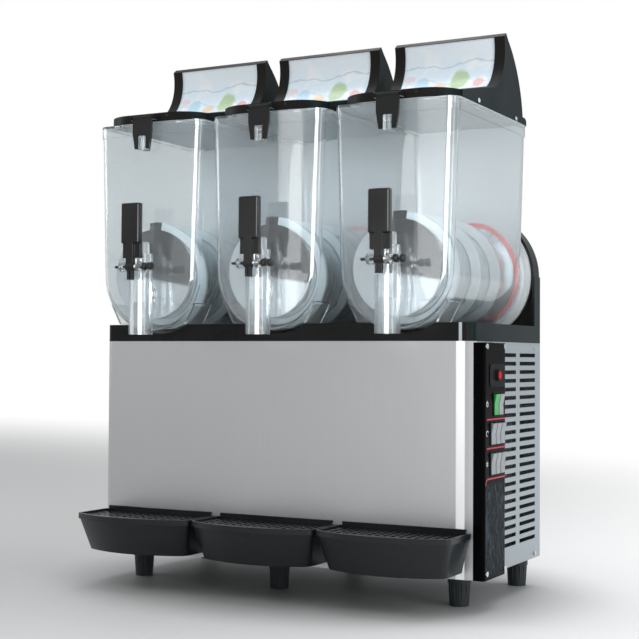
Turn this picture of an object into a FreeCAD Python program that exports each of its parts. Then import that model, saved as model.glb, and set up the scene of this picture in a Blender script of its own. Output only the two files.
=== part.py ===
import FreeCAD, Part
import math
import os

import Sketcher

# A three-bowl slush machine, in millimetres, +Z up. X runs along its front, -Y is its front.
# The local frame has X = 0 in the middle of the casing, Y = 0 on its front panel and Z = 0 on the
# floor. Each sub-part is moved from there into the row's frame, whose origin is the middle of the
# bottom of the machine's box.

os.makedirs("parts", exist_ok=True)
doc = FreeCAD.newDocument("SlushMachine")

DRIVING = {
    # casing
    "body_margin": 3,
    "body_depth": 269,
    "foot_height": 43,
    "casing_height": 317,
    "sheet": 1.2,
    "corner_radius": 12,
    "corner_wrap": 40,
    "seam": 0.3,
    "pan_sheet": 1.5,
    "pan_lip": 18,
    # deck and arched bulkhead
    "deck_height": 25,
    "deck_skin": 5,
    "deck_wall": 4,
    "axis_sink": 10,
    "bulkhead_thick": 25,
    "pocket_depth": 7,
    "cradle_gap": 0.5,
    # rear cover
    "cover_depth": 85,
    "cover_radius": 68,
    "cover_wall": 2.5,
    "cover_drop": 66,
    # bowls
    "bowl_spacing": 32,
    "bowl_radius": 84,
    "bowl_draft": 1.8,
    "bowl_wall": 3,
    "bowl_height": 298.5,
    "bowl_overhang": 36,
    "bowl_rear_gap": 8,
    "bowl_round": 14,
    "bowl_rear_round": 10,
    "rim_width": 1,
    "rim_height": 17,
    "rim_shelf": 7.5,
    "rim_lip_thick": 3,
    "rim_rear_round": 19,
    "collar_inset": 4,
    "collar_outset": 3,
    "flange_outset": 12,
    "flange_thick": 6,
    "foot_ledge": 30.5,
    "foot_reach_inset": 8,
    "foot_stance_inset": 24,
    "foot_length": 44,
    # lids and light boxes
    "lid_outset": 3,
    "lid_thick": 12.7,
    "lid_gap": 0.3,
    "lid_lip": 4,
    "lid_round": 50,
    "swoop_radius": 69,
    "swoop_reach": 145,
    "swoop_rise": 86.5,
    "swoop_over": 19,
    "slope_start": 31,
    "slope_rise": 24.5,
    "top_rise": 5.5,
    "top_run": 7,
    "back_top_run": 17,
    "back_top_rise": 9.5,
    "back_radius": 156,
    "housing_inset": 3.5,
    "housing_wall": 3,
    "frame_width": 16,
    "frame_lip": 1.5,
    "frame_border": 4,
    "frame_top": 0.5,
    "light_panel_thick": 2.5,
    "panel_gap": 0.15,
    "knuckle_radius": 6,
    "knuckle_width": 12,
    "hinge_peg": 2.5,
    "peg_fit": 0.05,
    "hinge_setback": 6,
    # lid latches
    "latch_width": 34,
    "latch_offset": 3,
    "latch_foot_width": 26,
    "latch_thick": 3.5,
    "latch_drop": 46,
    "latch_plate_drop": 20,
    "latch_slot": 13,
    "latch_peg": 1.5,
    "latch_stand_off": 12,
    "latch_ear": 3,
    "tongue_width": 11,
    "tongue_height": 22,
    # taps
    "tap_reach": 16.5,
    "tap_radius": 17.5,
    "tap_bore": 12.1,
    "spout_drop": 90,
    "tap_height": 118,
    "port_drop": 29,
    "port_radius": 8,
    "port_block_half": 14,
    "port_block_height": 32,
    "pin_forward": 26,
    "pin_rise": 8,
    "pin_radius": 2,
    "pin_fit": 0.05,
    "ear_start": 13,
    "ear_thick": 4,
    "ear_radius": 7,
    "tap_slot": 18.4,
    "tap_slot_drop": 18.5,
    # pistons
    "piston_fit": 0.1,
    "piston_seat_drop": 50,
    "piston_plunger": 35,
    "piston_stem_radius": 5,
    "piston_head": 30,
    "piston_head_rise": 8,
    # tap handles
    "grip_width": 31.5,
    "grip_height": 59,
    "grip_thick": 11.5,
    "grip_front": 4,
    "grip_rise": 34,
    "skirt_drop": 21,
    "skirt_thick": 6.5,
    "skirt_gap": 12,
    "stem_width": 12,
    "stem_thick": 8,
    "boss_radius": 6,
    "boss_half": 6,
    "fork_half": 8.3,
    "fork_gap": 5.3,
    "fork_thick": 5,
    "fork_reach": 31,
    "fork_start": 5,
    "hook_drop": 19,
    "hook_width": 9,
    "hook_thick": 6,
    "hook_gap": 3,
    "pin_left": 27,
    "pin_right": 38,
    "pin_knob": 5.6,
    "pin_knob_width": 7,
    "pin_knob_gap": 3,
    # tap springs
    "spring_wire": 0.6,
    "spring_radius": 3.4,
    "spring_turns": 3,
    "spring_pitch": 1.7,
    "spring_gap": 0.3,
    "spring_leg": 9,
    # evaporator drums and augers
    "drum_clearance": 19,
    "drum_wall": 2,
    "drum_inset": 15.5,
    "drum_base": 4,
    "shaft_radius": 6,
    "shaft_fit": 0.06,
    "shaft_tube": 10,
    "gasket_length": 9,
    "gasket_width": 6,
    "gasket_fit": 0.3,
    "gasket_round": 2.5,
    "auger_gap": 1,
    "auger_clearance": 6,
    "auger_end_gap": 17,
    "auger_turns": 3,
    "auger_thick": 5,
    "disc_outset": 2,
    "disc_thick": 5,
    "disc_gap": 1.5,
    "disc_round": 1.5,
    "lug_width": 14,
    # gearmotors
    "gearbox_width": 84,
    "gearbox_height": 56,
    "gearbox_depth": 40,
    "motor_radius": 30,
    "motor_length": 36,
    "shaft_grip": 30,
    # drip trays
    "tray_spacing": 4,
    "tray_side": 70,
    "tray_bow": 25,
    "tray_rise": 62,
    "tray_height": 53,
    "tray_taper": 12,
    "tray_front_taper": 14,
    "tray_wall": 2.5,
    "tray_rim": 8,
    "tray_rim_out": 1.5,
    "tray_corner": 9,
    "tray_foot_corner": 16,
    "tray_gap": 0.4,
    "tongue_inset": 6,
    "tongue_thick": 1.6,
    "tongue_rise": 4.6,
    "tongue_in": 4,
    "grille_thick": 2,
    "grille_drop": 3,
    "grille_gap": 0.5,
    "grille_slot_width": 7,
    "grille_slot_length": 11,
    "grille_pitch": 11.5,
    "grille_row_pitch": 14,
    "grille_columns": 15,
    "grille_rows": 4,
    # side panels
    "louvre_rows": 23,
    "louvre_height": 5.5,
    "louvre_width": 67,
    "louvre_column_gap": 15,
    "louvre_low_margin": 29,
    "louvre_high_margin": 15.4,
    "louvre_rear_margin": 22,
    # rear panel
    "vent_rows": 12,
    "vent_low_margin": 107,
    "vent_high_margin": 50,
    "vent_height": 6,
    "vent_half": 55,
    "vent_spread": 140,
    # control box
    "control_depth": 16,
    "control_width": 80,
    "control_gap": 2,
    "control_wall": 2,
    "control_round": 4,
    "rocker_width": 15,
    "rocker_height": 28,
    "rocker_pitch": 17.5,
    "rocker_proud": 2.2,
    "rocker_dish": 1.6,
    "rocker_deep": 9,
    "rocker_tilt": 5,
    "rocker_hub": 3,
    "rocker_gap": 0.4,
    "bezel_border": 2.5,
    "bezel_proud": 1,
    "power_y": 33,
    "power_drop": 82.5,
    "group_y": 30,
    "mixer_drop": 121.5,
    "cooling_drop": 161.5,
    "lamp_y": 45,
    "lamp_drop": 43.5,
    "lamp_radius": 8,
    "lamp_proud": 4,
    "lamp_plate_width": 54,
    "lamp_plate_height": 30,
    # feet
    "foot_radius": 16,
    "foot_collar": 13,
    "foot_tip": 13.3,
    "foot_flute": 1.7,
    "foot_flutes": 12,
    "foot_stud": 4,
    "foot_inset": 39.5,
    "foot_rear_inset": 29.5,
    "foot_front": 50,
    "foot_rear_margin": 18,
    "foot_offset": 21,
    # refrigeration
    "compressor_radius": 62,
    "compressor_height": 135,
    "compressor_round": 28,
    "compressor_inset": 171.5,
    "compressor_back": 5.5,
    "grommet_height": 14,
    "grommet_radius": 10,
    "plate_thick": 3,
    "plate_width": 156,
    "plate_depth": 120,
    "condenser_inset": 65.5,
    "condenser_thick": 36,
    "condenser_y": 60,
    "condenser_rear": 41,
    "condenser_headroom": 107,
    "fin_count": 24,
    "fin_thick": 1.6,
    "condenser_tube": 5,
    "fan_radius": 80,
    "fan_hub": 20,
    "fan_depth": 14,
    "fan_chord": 40,
    "fan_blade_thick": 2.5,
    "fan_gap": 10,
    "fan_motor_radius": 34,
    "fan_motor_length": 46,
    "fan_shaft": 4,
    "bracket_width": 50,
    "pipe_radius": 3.2,
    "drier_radius": 11,
    "drier_length": 90,
    # cord gland and screws
    "gland_inset": 86.5,
    "gland_rise": 41,
    "gland_radius": 13,
    "gland_bore": 4.5,
    "gland_out": 20,
    "gland_in": 10,
    "screw_head": 3.6,
    "screw_head_thick": 1.8,
    "screw_shank": 1.6,
    "screw_length": 6,
    "screw_fit": 0.15,
    "screw_margin": 7,
    "control_screw_rise": 9,
}


class Length:
    """A size: its value in millimetres and the sheet expression that gives it."""

    def __init__(self, value, text):
        self.value = float(value)
        self.text = text

    def joined(self, sign, other, value):
        return Length(value, f"({self.text} {sign} {other.text})")

    def __add__(self, other):
        other = length(other)
        return self.joined("+", other, self.value + other.value)

    def __radd__(self, other):
        return length(other) + self

    def __sub__(self, other):
        other = length(other)
        return self.joined("-", other, self.value - other.value)

    def __rsub__(self, other):
        return length(other) - self

    def __mul__(self, other):
        other = length(other)
        return self.joined("*", other, self.value * other.value)

    def __rmul__(self, other):
        return length(other) * self

    def __truediv__(self, other):
        other = length(other)
        return self.joined("/", other, self.value / other.value)

    def __neg__(self):
        return length(0) - self


def length(amount):
    if isinstance(amount, Length):
        return amount
    return Length(amount, repr(float(amount)))


def root(amount):
    return Length(math.sqrt(amount.value), f"sqrt({amount.text})")


def cosine(angle):
    return Length(math.cos(math.radians(angle.value)), f"cos({angle.text} * 1 deg)")


def sine(angle):
    return Length(math.sin(math.radians(angle.value)), f"sin({angle.text} * 1 deg)")


class Sizes:
    """The driving dimensions, each one a cell of the sheet with its own alias."""


sheet = doc.addObject("Spreadsheet::Sheet", "Sizes")
size = Sizes()
for row, (alias, amount) in enumerate(DRIVING.items(), start=1):
    sheet.set(f"A{row}", alias)
    sheet.set(f"B{row}", str(amount))
    sheet.setAlias(f"B{row}", alias)
    setattr(size, alias, Length(amount, f"Sizes.{alias}"))
doc.recompute()

# Sizes that several sub-parts share.
bowl_pitch = size.bowl_radius * 2 + size.bowl_spacing
body_width = bowl_pitch * 3 + size.body_margin
half_width = body_width / 2
arch_radius = bowl_pitch / 2
collar_bore = size.bowl_radius - size.collar_inset
collar_radius = size.bowl_radius + size.collar_outset
lid_half = size.bowl_radius + size.lid_outset
drum_radius = size.bowl_radius - size.drum_clearance
auger_radius = size.bowl_radius - size.auger_clearance
gasket_radius = collar_bore - size.gasket_fit
tray_half = (bowl_pitch - size.tray_spacing) / 2
tongue_half = tray_half - size.tongue_inset
deck_under = size.foot_height + size.casing_height
deck_top = deck_under + size.deck_height
axis_z = deck_top + size.bowl_radius - size.axis_sink
bulkhead_front = size.body_depth - size.bulkhead_thick
bowl_front = -size.bowl_overhang
bowl_back = bulkhead_front - size.bowl_rear_gap
bowl_top = deck_top + size.bowl_height
tap_y = bowl_front - size.tap_reach
spout_bottom = axis_z - size.spout_drop
tap_top = spout_bottom + size.tap_height
tray_top = size.foot_height + size.tray_rise
control_top = deck_under - size.control_gap
power_z = control_top - size.power_drop
mixer_z = control_top - size.mixer_drop
cooling_z = control_top - size.cooling_drop
lamp_z = control_top - size.lamp_drop
housing_back = bowl_back - size.housing_inset
swoop_start = housing_back - size.swoop_reach
condenser_x = half_width - size.condenser_inset
condenser_width = size.body_depth - size.condenser_y - size.condenser_rear
condenser_height = size.casing_height - size.condenser_headroom
compressor_x = size.compressor_inset - half_width
compressor_y = size.body_depth / 2 + size.compressor_back
gland_x = half_width - size.gland_inset
gland_z = size.foot_height + size.gland_rise
pin_y = tap_y - size.pin_forward
pin_z = axis_z + size.pin_rise
lid_under = bowl_top + size.lid_gap
lid_top = lid_under + size.lid_thick
hinge_y = bowl_back + size.hinge_setback
hinge_z = bowl_top + size.knuckle_radius + size.lid_gap
latch_y = bowl_front - size.latch_stand_off
latch_z = lid_under + size.lid_thick / 2
rear_y = size.body_depth + size.cover_depth
front_reach = size.tray_side + size.tray_bow + size.tray_gap
row_x = (size.screw_head_thick - size.control_depth - size.bezel_proud - size.lamp_proud) / 2
row_y = -(rear_y - front_reach) / 2
NOTHING = length(0)
OVERCUT = length(1)
AXES = {
    "X": FreeCAD.Rotation(FreeCAD.Vector(0, 1, 0), 90),
    "Y": FreeCAD.Rotation(FreeCAD.Vector(1, 0, 0), -90),
    "Z": FreeCAD.Rotation(),
}


def bind(obj, prop, amount):
    obj.setExpression(prop, length(amount).text)


def place(obj, x, y, z):
    for axis, amount in zip("xyz", (x, y, z)):
        bind(obj, f"Placement.Base.{axis}", amount)


def box(name, sides, corner):
    obj = doc.addObject("Part::Box", name)
    for prop, amount in zip(("Length", "Width", "Height"), sides):
        bind(obj, prop, amount)
    place(obj, *corner)
    return obj


def span(name, x, y, z):
    """A box between two limits on each axis."""
    sides = [length(high) - low for low, high in (x, y, z)]
    return box(name, sides, (x[0], y[0], z[0]))


def cylinder(name, radius, height, base, along="Z"):
    obj = doc.addObject("Part::Cylinder", name)
    bind(obj, "Radius", radius)
    bind(obj, "Height", height)
    obj.Placement.Rotation = AXES[along]
    place(obj, *base)
    return obj


def cone(name, low_radius, high_radius, height, base):
    obj = doc.addObject("Part::Cone", name)
    bind(obj, "Radius1", low_radius)
    bind(obj, "Radius2", high_radius)
    bind(obj, "Height", height)
    place(obj, *base)
    return obj


def fuse(name, pieces):
    obj = doc.addObject("Part::MultiFuse", name)
    obj.Shapes = pieces
    obj.Refine = True
    return obj


def common(name, first, second):
    obj = doc.addObject("Part::Common", name)
    obj.Base = first
    obj.Tool = second
    return obj


def cut(name, base, tools):
    obj = doc.addObject("Part::Cut", name)
    obj.Base = base
    obj.Tool = tools[0] if len(tools) == 1 else fuse(name + "_tools", tools)
    obj.Refine = True
    return obj


def group(name, pieces):
    obj = doc.addObject("Part::Compound", name)
    obj.Links = pieces
    return obj


def moved(name, piece, x=NOTHING, y=NOTHING, z=NOTHING):
    """The same piece once more, at another place."""
    obj = group(name, [piece])
    place(obj, x, y, z)
    return obj


def turned(name, piece, axis, angle, centre):
    """The same piece turned about an axis through a centre, by an angle in degrees."""
    lifted = moved(name + "_centred", piece, *[-amount for amount in centre])
    obj = group(name, [lifted])
    obj.Placement.Rotation = FreeCAD.Rotation(axis, angle)
    place(obj, *centre)
    return obj


def rounded(name, base, radius, wanted):
    """Rounds those edges of base for which wanted(edge) is true."""
    doc.recompute()
    obj = doc.addObject("Part::Fillet", name)
    obj.Base = base
    amount = length(radius).value
    edges = enumerate(base.Shape.Edges, start=1)
    obj.Edges = [(number, amount, amount) for number, edge in edges if wanted(edge)]
    return obj


def near(first, second):
    return abs(first - second) < 1e-4


def upright_at(corners):
    """Picks the upright edges at the given (x, y) corners."""

    def wanted(edge):
        low, high = edge.BoundBox.ZMin, edge.BoundBox.ZMax
        centre = edge.BoundBox.Center
        flat = edge.BoundBox.XLength < 1e-4 and edge.BoundBox.YLength < 1e-4
        here = any(near(centre.x, x.value) and near(centre.y, y.value) for x, y in corners)
        return flat and high - low > 1 and here

    return wanted


def round_pair(name, base, half, y, radius):
    """Rounds the two upright edges at (-half, y) and (half, y)."""
    return rounded(name, base, radius, upright_at([(-half, y), (half, y)]))


def plane_of(body, letters):
    return [item for item in body.Origin.OriginFeatures if item.Role == letters + "_Plane"][0]


def draw(body, name, letters, outline, offset):
    """A closed sketch. Each item of the outline is a corner, or a corner and the radius and the
    way (1 or -1) of the arc that leads to the next corner."""
    sketch = body.newObject("Sketcher::SketchObject", name)
    sketch.AttachmentSupport = [(plane_of(body, letters), "")]
    sketch.MapMode = "FlatFace"
    bind(sketch, "AttachmentOffset.Base.z", offset)
    count = len(outline)
    corners = [FreeCAD.Vector(item[0].value, item[1].value, 0) for item in outline]
    for number, item in enumerate(outline):
        start = corners[number]
        end = corners[(number + 1) % count]
        if len(item) == 2:
            sketch.addGeometry(Part.LineSegment(start, end), False)
            continue
        radius, way = item[2].value, item[3]
        chord = end - start
        rise = math.sqrt(radius**2 - (chord.Length / 2) ** 2)
        across = FreeCAD.Vector(-chord.y, chord.x, 0).normalize()
        centre = (start + end) / 2 + across * rise * way
        circle = Part.Circle(centre, FreeCAD.Vector(0, 0, 1), radius)
        first, last = (start, end) if way == 1 else (end, start)
        turns = [math.atan2(point.y - centre.y, point.x - centre.x) for point in (first, last)]
        if turns[1] < turns[0]:
            turns[1] += 2 * math.pi
        sketch.addGeometry(Part.ArcOfCircle(circle, *turns), False)
    ends = [(1, 2) if len(item) == 2 or item[3] == 1 else (2, 1) for item in outline]
    for number in range(count):
        after = (number + 1) % count
        joint = ("Coincident", number, ends[number][1], after, ends[after][0])
        sketch.addConstraint(Sketcher.Constraint(*joint))
    for number, item in enumerate(outline):
        start = ends[number][0]
        for kind, amount in zip(("DistanceX", "DistanceY"), item[:2]):
            rule = Sketcher.Constraint(kind, -1, 1, number, start, amount.value)
            bind(sketch, f"Constraints[{sketch.addConstraint(rule)}]", amount)
        if len(item) == 4:
            rule = Sketcher.Constraint("Radius", number, item[2].value)
            bind(sketch, f"Constraints[{sketch.addConstraint(rule)}]", item[2])
    return sketch


def as_lengths(outline):
    return [tuple(length(item) for item in row[:3]) + tuple(row[3:]) for row in outline]


def prism(name, letters, outline, start, end):
    """A body padded from a closed outline between two levels of the plane's own axis."""
    body = doc.addObject("PartDesign::Body", name)
    offset = -length(end) if letters == "XZ" else length(start)
    sketch = draw(body, name + "_sketch", letters, as_lengths(outline), offset)
    pad = body.newObject("PartDesign::Pad", name + "_pad")
    pad.Profile = sketch
    bind(pad, "Length", length(end) - start)
    return body


def loft(name, outlines, levels):
    """A body lofted through closed outlines in level planes."""
    body = doc.addObject("PartDesign::Body", name)
    sketches = []
    for number, (outline, level) in enumerate(zip(outlines, levels)):
        label = f"{name}_sketch_{number}"
        sketches.append(draw(body, label, "XY", as_lengths(outline), length(level)))
    solid = body.newObject("PartDesign::AdditiveLoft", name + "_loft")
    solid.Profile = sketches[0]
    solid.Sections = sketches[1:]
    solid.Ruled = True
    return body


def pocket_rows(body, name, letters, outlines, offset, depth, rows, pitch, direction):
    """Cuts rectangles through a body and repeats the cut in rows."""
    doc.recompute()
    cuts = []
    for number, outline in enumerate(outlines):
        sketch = draw(body, f"{name}_sketch_{number}", letters, as_lengths(outline), offset)
        hole = body.newObject("PartDesign::Pocket", f"{name}_{number}")
        hole.Profile = sketch
        hole.Midplane = True
        bind(hole, "Length", depth)
        doc.recompute()
        cuts.append(hole)
    pattern = body.newObject("PartDesign::LinearPattern", name + "_rows")
    pattern.Originals = cuts
    pattern.Direction = (axis_of(body, direction), [""])
    bind(pattern, "Length", pitch * (rows - 1))
    pattern.Occurrences = int(length(rows).value)
    body.Tip = pattern
    return body


def axis_of(body, letter):
    return [item for item in body.Origin.OriginFeatures if item.Role == letter + "_Axis"][0]


def rectangle(x, y):
    return [(x[0], y[0]), (x[1], y[0]), (x[1], y[1]), (x[0], y[1])]


def feature(name, shape):
    obj = doc.addObject("Part::Feature", name)
    obj.Shape = shape
    return obj


NODES = []


def keep(obj, node, x=NOTHING):
    """Makes obj the sub-part called node, moved into the row's frame."""
    own = obj if obj.TypeId == "PartDesign::Body" else group(node + "_part", [obj])
    own.Label = node
    place(own, row_x + x, row_y, NOTHING)
    NODES.append(own)


def keep_three(obj, node):
    """The left, middle and right copies of a piece that every bowl has."""
    for side, step in (("left", -1), ("middle", 0), ("right", 1)):
        own = group(f"{node}_{side}_part", [obj])
        own.Label = f"{node}_{side}"
        place(own, row_x + bowl_pitch * step, row_y, NOTHING)
        NODES.append(own)


def screw_parts(name, spots, along):
    """Pan-head screws and the holes for their shanks. A spot is the middle of the seat, and the
    head points along +X, -X, +Y or -Y."""
    screws = []
    holes = []
    letter, way = along[1], 1 if along[0] == "+" else -1
    step = (way if letter == "X" else 0, way if letter == "Y" else 0)
    for number, (x, y, z) in enumerate(spots):
        label = f"{name}_{number}"
        reach = NOTHING if way == 1 else size.screw_head_thick
        start = (x - reach * abs(step[0]), y - reach * abs(step[1]), z)
        head = cylinder(label + "_head", size.screw_head, size.screw_head_thick, start, letter)
        back = size.screw_length if way == 1 else NOTHING
        low = (x - back * abs(step[0]), y - back * abs(step[1]), z)
        shank = cylinder(label + "_shank", size.screw_shank, size.screw_length, low, letter)
        screws.append(fuse(label + "_screw", [head, shank]))
        bore = size.screw_shank + size.screw_fit
        below = size.screw_length + 1 if way == 1 else OVERCUT
        base = (x - below * abs(step[0]), y - below * abs(step[1]), z)
        holes.append(cylinder(label + "_hole", bore, size.screw_length + 2, base, letter))
    return screws, holes


# Screws

control_face = half_width + size.control_depth
rocker_face = control_face + size.bezel_proud
panel_low = size.foot_height + size.screw_margin
panel_high = deck_under - size.screw_margin
control_low = size.foot_height + size.control_screw_rise
control_spots = [
    (control_face, length(7), panel_high),
    (control_face, length(73), panel_high),
    (control_face, length(8), control_low),
    (control_face, length(75), control_low),
]
side_near = size.corner_wrap + 54
side_far = size.body_depth - 24
side_spots = [(half_width, y, z) for y in (side_near, side_far) for z in (panel_low, panel_high)]
left_spots = [(-x, y, z) for x, y, z in side_spots]
rear_half = half_width - 20
rear_spots = [
    (x, size.body_depth, z) for x in (-rear_half, rear_half) for z in (panel_low, panel_high)
]
control_screws, control_holes = screw_parts("control_screw", control_spots, "+X")
side_screws, side_holes = screw_parts("side_screw", side_spots, "+X")
left_screws, left_holes = screw_parts("left_screw", left_spots, "-X")
rear_screws, rear_holes = screw_parts("rear_screw", rear_spots, "+Y")


# Feet: a round collar with a fluted, tapered boot under it and a stud into the base pan


def foot_spots():
    side = half_width - size.foot_inset
    front = [(x, size.foot_front) for x in (-side, -size.foot_offset, side)]
    side = half_width - size.foot_rear_inset
    rear_y = size.body_depth - size.foot_rear_margin
    rear = [(x, rear_y) for x in (-side, NOTHING, side)]
    return front + rear


def make_feet():
    boot_height = size.foot_height - size.foot_collar
    boot_top = size.foot_radius - 1
    origin = (NOTHING, NOTHING, NOTHING)
    boot = cone("foot_boot", size.foot_tip, boot_top, boot_height, origin)
    collar_base = (NOTHING, NOTHING, boot_height)
    collar = cylinder("foot_collar", size.foot_radius, size.foot_collar, collar_base)
    stud_base = (NOTHING, NOTHING, size.foot_height)
    stud = cylinder("foot_stud", size.foot_stud, length(9), stud_base)
    flutes = []
    for number in range(int(size.foot_flutes.value)):
        turn = math.radians(360 * number / size.foot_flutes.value)
        spot = (boot_top * math.cos(turn), boot_top * math.sin(turn), length(4))
        flutes.append(cylinder(f"foot_flute_{number}", size.foot_flute, boot_height - 5, spot))
    solid = fuse("foot_solid", [boot, collar, stud])
    pattern = cut("foot_pattern", solid, flutes)
    feet = [moved(f"foot_{n}", pattern, x, y) for n, (x, y) in enumerate(foot_spots())]
    keep(group("feet_group", feet), "feet")


# Casing: base pan, front panel that wraps round the front corners, side, rear panels


def make_base_pan():
    inset = size.sheet + size.seam
    half = half_width - inset
    bottom = size.foot_height
    lip = bottom + size.pan_lip
    rear = size.body_depth - inset
    outer = span("pan_outer", (-half, half), (inset, rear), (bottom, lip))
    outer_round = size.corner_radius - inset + 0.5
    outer = round_pair("pan_outer_round", outer, half, inset, outer_round)
    half_in = half - size.pan_sheet
    near_in = inset + size.pan_sheet
    inner = span(
        "pan_inner",
        (-half_in, half_in),
        (near_in, rear - size.pan_sheet),
        (bottom + size.pan_sheet, lip + 1),
    )
    inner = round_pair("pan_inner_round", inner, half_in, near_in, outer_round - size.pan_sheet)
    holes = []
    for number, (x, y) in enumerate(foot_spots()):
        spot = (x, y, bottom - 1)
        holes.append(cylinder(f"pan_hole_{number}", size.foot_stud + 0.2, length(6), spot))
    low_holes = side_holes[::2] + left_holes[::2] + rear_holes[::2]
    keep(cut("pan", outer, [inner] + holes + low_holes), "base_pan")


def make_front_panel():
    bottom = size.foot_height
    wrap = (NOTHING, size.corner_wrap)
    outer = span("front_outer", (-half_width, half_width), wrap, (bottom, deck_under))
    outer = round_pair("front_outer_round", outer, half_width, NOTHING, size.corner_radius)
    half_in = half_width - size.sheet
    inner = span(
        "front_inner",
        (-half_in, half_in),
        (size.sheet, size.corner_wrap + 1),
        (bottom - 1, deck_under + 1),
    )
    inner_round = size.corner_radius - size.sheet
    inner = round_pair("front_inner_round", inner, half_in, size.sheet, inner_round)
    slots = []
    half = tongue_half + 1
    low = tray_top + size.tongue_rise - size.tongue_thick - size.seam
    high = tray_top + size.tongue_rise + size.seam
    for number in (-1, 0, 1):
        middle = bowl_pitch * number
        limits = (middle - half, middle + half)
        slots.append(span(f"tray_slot_{number + 1}", limits, (-OVERCUT, OVERCUT * 3), (low, high)))
    keep(cut("front", outer, [inner] + slots), "front_panel")


def louvre_outlines():
    low = size.foot_height + size.louvre_low_margin
    high = low + size.louvre_height
    second = size.body_depth - size.louvre_rear_margin - size.louvre_width
    first = second - size.louvre_column_gap - size.louvre_width
    return [rectangle((y, y + size.louvre_width), (low, high)) for y in (first, second)]


def row_pitch(low_margin, high_margin, height, rows):
    """The pitch that spreads rows of slots evenly between two margins of the casing."""
    return (size.casing_height - low_margin - high_margin - height) / (rows - 1)


def make_side_panel(name, inner_face, outer_face, holes):
    near_edge = size.corner_wrap + size.seam
    plate = rectangle((near_edge, size.body_depth), (size.foot_height, deck_under))
    body = prism(name + "_sheet", "YZ", plate, inner_face, outer_face)
    rows = size.louvre_rows
    margins = (size.louvre_low_margin, size.louvre_high_margin)
    pitch = row_pitch(*margins, size.louvre_height, rows)
    pocket_rows(
        body,
        name + "_louvre",
        "YZ",
        louvre_outlines(),
        inner_face,
        size.sheet * 4,
        rows,
        pitch,
        "Z",
    )
    keep(cut(name + "_drilled", body, holes), name)


def make_rear_panel():
    inset = size.sheet + size.seam
    half = half_width - inset
    limits = rectangle((-half, half), (size.foot_height, deck_under))
    body = prism("rear_sheet", "XZ", limits, size.body_depth - size.sheet, size.body_depth)
    vents = []
    low = size.foot_height + size.vent_low_margin
    margins = (size.vent_low_margin, size.vent_high_margin)
    pitch = row_pitch(*margins, size.vent_height, size.vent_rows)
    for column in (-1, 0, 1):
        middle = size.vent_spread * column
        limits = (middle - size.vent_half, middle + size.vent_half)
        vents.append(rectangle(limits, (low, low + size.vent_height)))
    pocket_rows(
        body,
        "rear_vent",
        "XZ",
        vents,
        -size.body_depth,
        size.sheet * 4,
        size.vent_rows,
        pitch,
        "Z",
    )
    gland = cylinder(
        "gland_hole",
        size.gland_radius - 3 + 0.2,
        size.sheet * 4,
        (gland_x, size.body_depth - size.sheet * 2, gland_z),
        "Y",
    )
    keep(cut("rear_drilled", body, rear_holes + [gland]), "rear_panel")


def make_gland():
    seat = size.body_depth
    middle = (gland_x, seat, gland_z)
    nut = cylinder("gland_nut", size.gland_radius, size.gland_out * 0.6, middle, "Y")
    neck = cylinder("gland_neck", size.gland_radius - 3, size.gland_out, middle, "Y")
    inner_y = seat - size.gland_in
    thread = (gland_x, inner_y, gland_z)
    stem = cylinder("gland_stem", size.gland_radius - 3, size.gland_in, thread, "Y")
    ring = cylinder(
        "gland_ring",
        size.gland_radius,
        size.gland_in * 0.5,
        (gland_x, seat - size.sheet - size.seam - size.gland_in * 0.5, gland_z),
        "Y",
    )
    bore = cylinder(
        "gland_bore",
        size.gland_bore,
        size.gland_out + size.gland_in + 2,
        (gland_x, inner_y - 1, gland_z),
        "Y",
    )
    solid = fuse("gland_solid", [nut, neck, stem, ring])
    keep(cut("gland", solid, [bore]), "cord_gland")


# Deck: a moulded top with a cradle under each bowl and an arched bulkhead at its rear


def each_bowl():
    return [bowl_pitch * step for step in (-1, 0, 1)]


def make_deck():
    slab = span(
        "slab", (-half_width, half_width), (NOTHING, size.body_depth), (deck_under, deck_top)
    )
    slab = round_pair("slab_round", slab, half_width, NOTHING, size.corner_radius)
    rear = (bulkhead_front, size.body_depth)
    wall = span("bulkhead_wall", (-half_width, half_width), rear, (deck_under, axis_z))
    arches = []
    cradles = []
    bores = []
    rounds = []
    for number, x in enumerate(each_bowl()):
        front = (x, bulkhead_front, axis_z)
        arches.append(
            cylinder(f"arch_{number}", arch_radius, size.bulkhead_thick, front, "Y")
        )
        before = (x, -OVERCUT, axis_z)
        cradle_radius = collar_radius + size.cradle_gap
        deep = bulkhead_front + 1
        cradles.append(cylinder(f"cradle_{number}", cradle_radius, deep, before, "Y"))
        inside = (x, bulkhead_front - 1, axis_z)
        deep = size.bulkhead_thick + 2
        bores.append(cylinder(f"deck_bore_{number}", size.shaft_tube, deep, inside, "Y"))
        deep = size.pocket_depth + 2
        pad = arch_radius - 2
        rounds.append(cylinder(f"pocket_keep_{number}", pad, deep, inside, "Y"))
    pocket_box = span(
        "pocket_box",
        (-half_width + size.deck_wall, half_width - size.deck_wall),
        (bulkhead_front - 1, bulkhead_front + size.pocket_depth),
        (deck_top + 2, axis_z - 12),
    )
    pockets = cut("corner_pockets", pocket_box, rounds)
    inside = half_width - size.deck_wall - size.corner_radius / 2
    hollow = span(
        "deck_hollow",
        (-inside, inside),
        (size.deck_wall + size.corner_radius / 2, bulkhead_front - size.deck_wall),
        (deck_under - 1, deck_under + size.deck_skin),
    )
    under = span(
        "under_deck",
        (-half_width, half_width),
        (bulkhead_front - 1, size.body_depth + 1),
        (deck_under - arch_radius, deck_under),
    )
    solid = fuse("deck_solid", [slab, wall] + arches)
    keep(cut("deck_cut", solid, cradles + bores + [pockets, hollow, under]), "deck")


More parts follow.
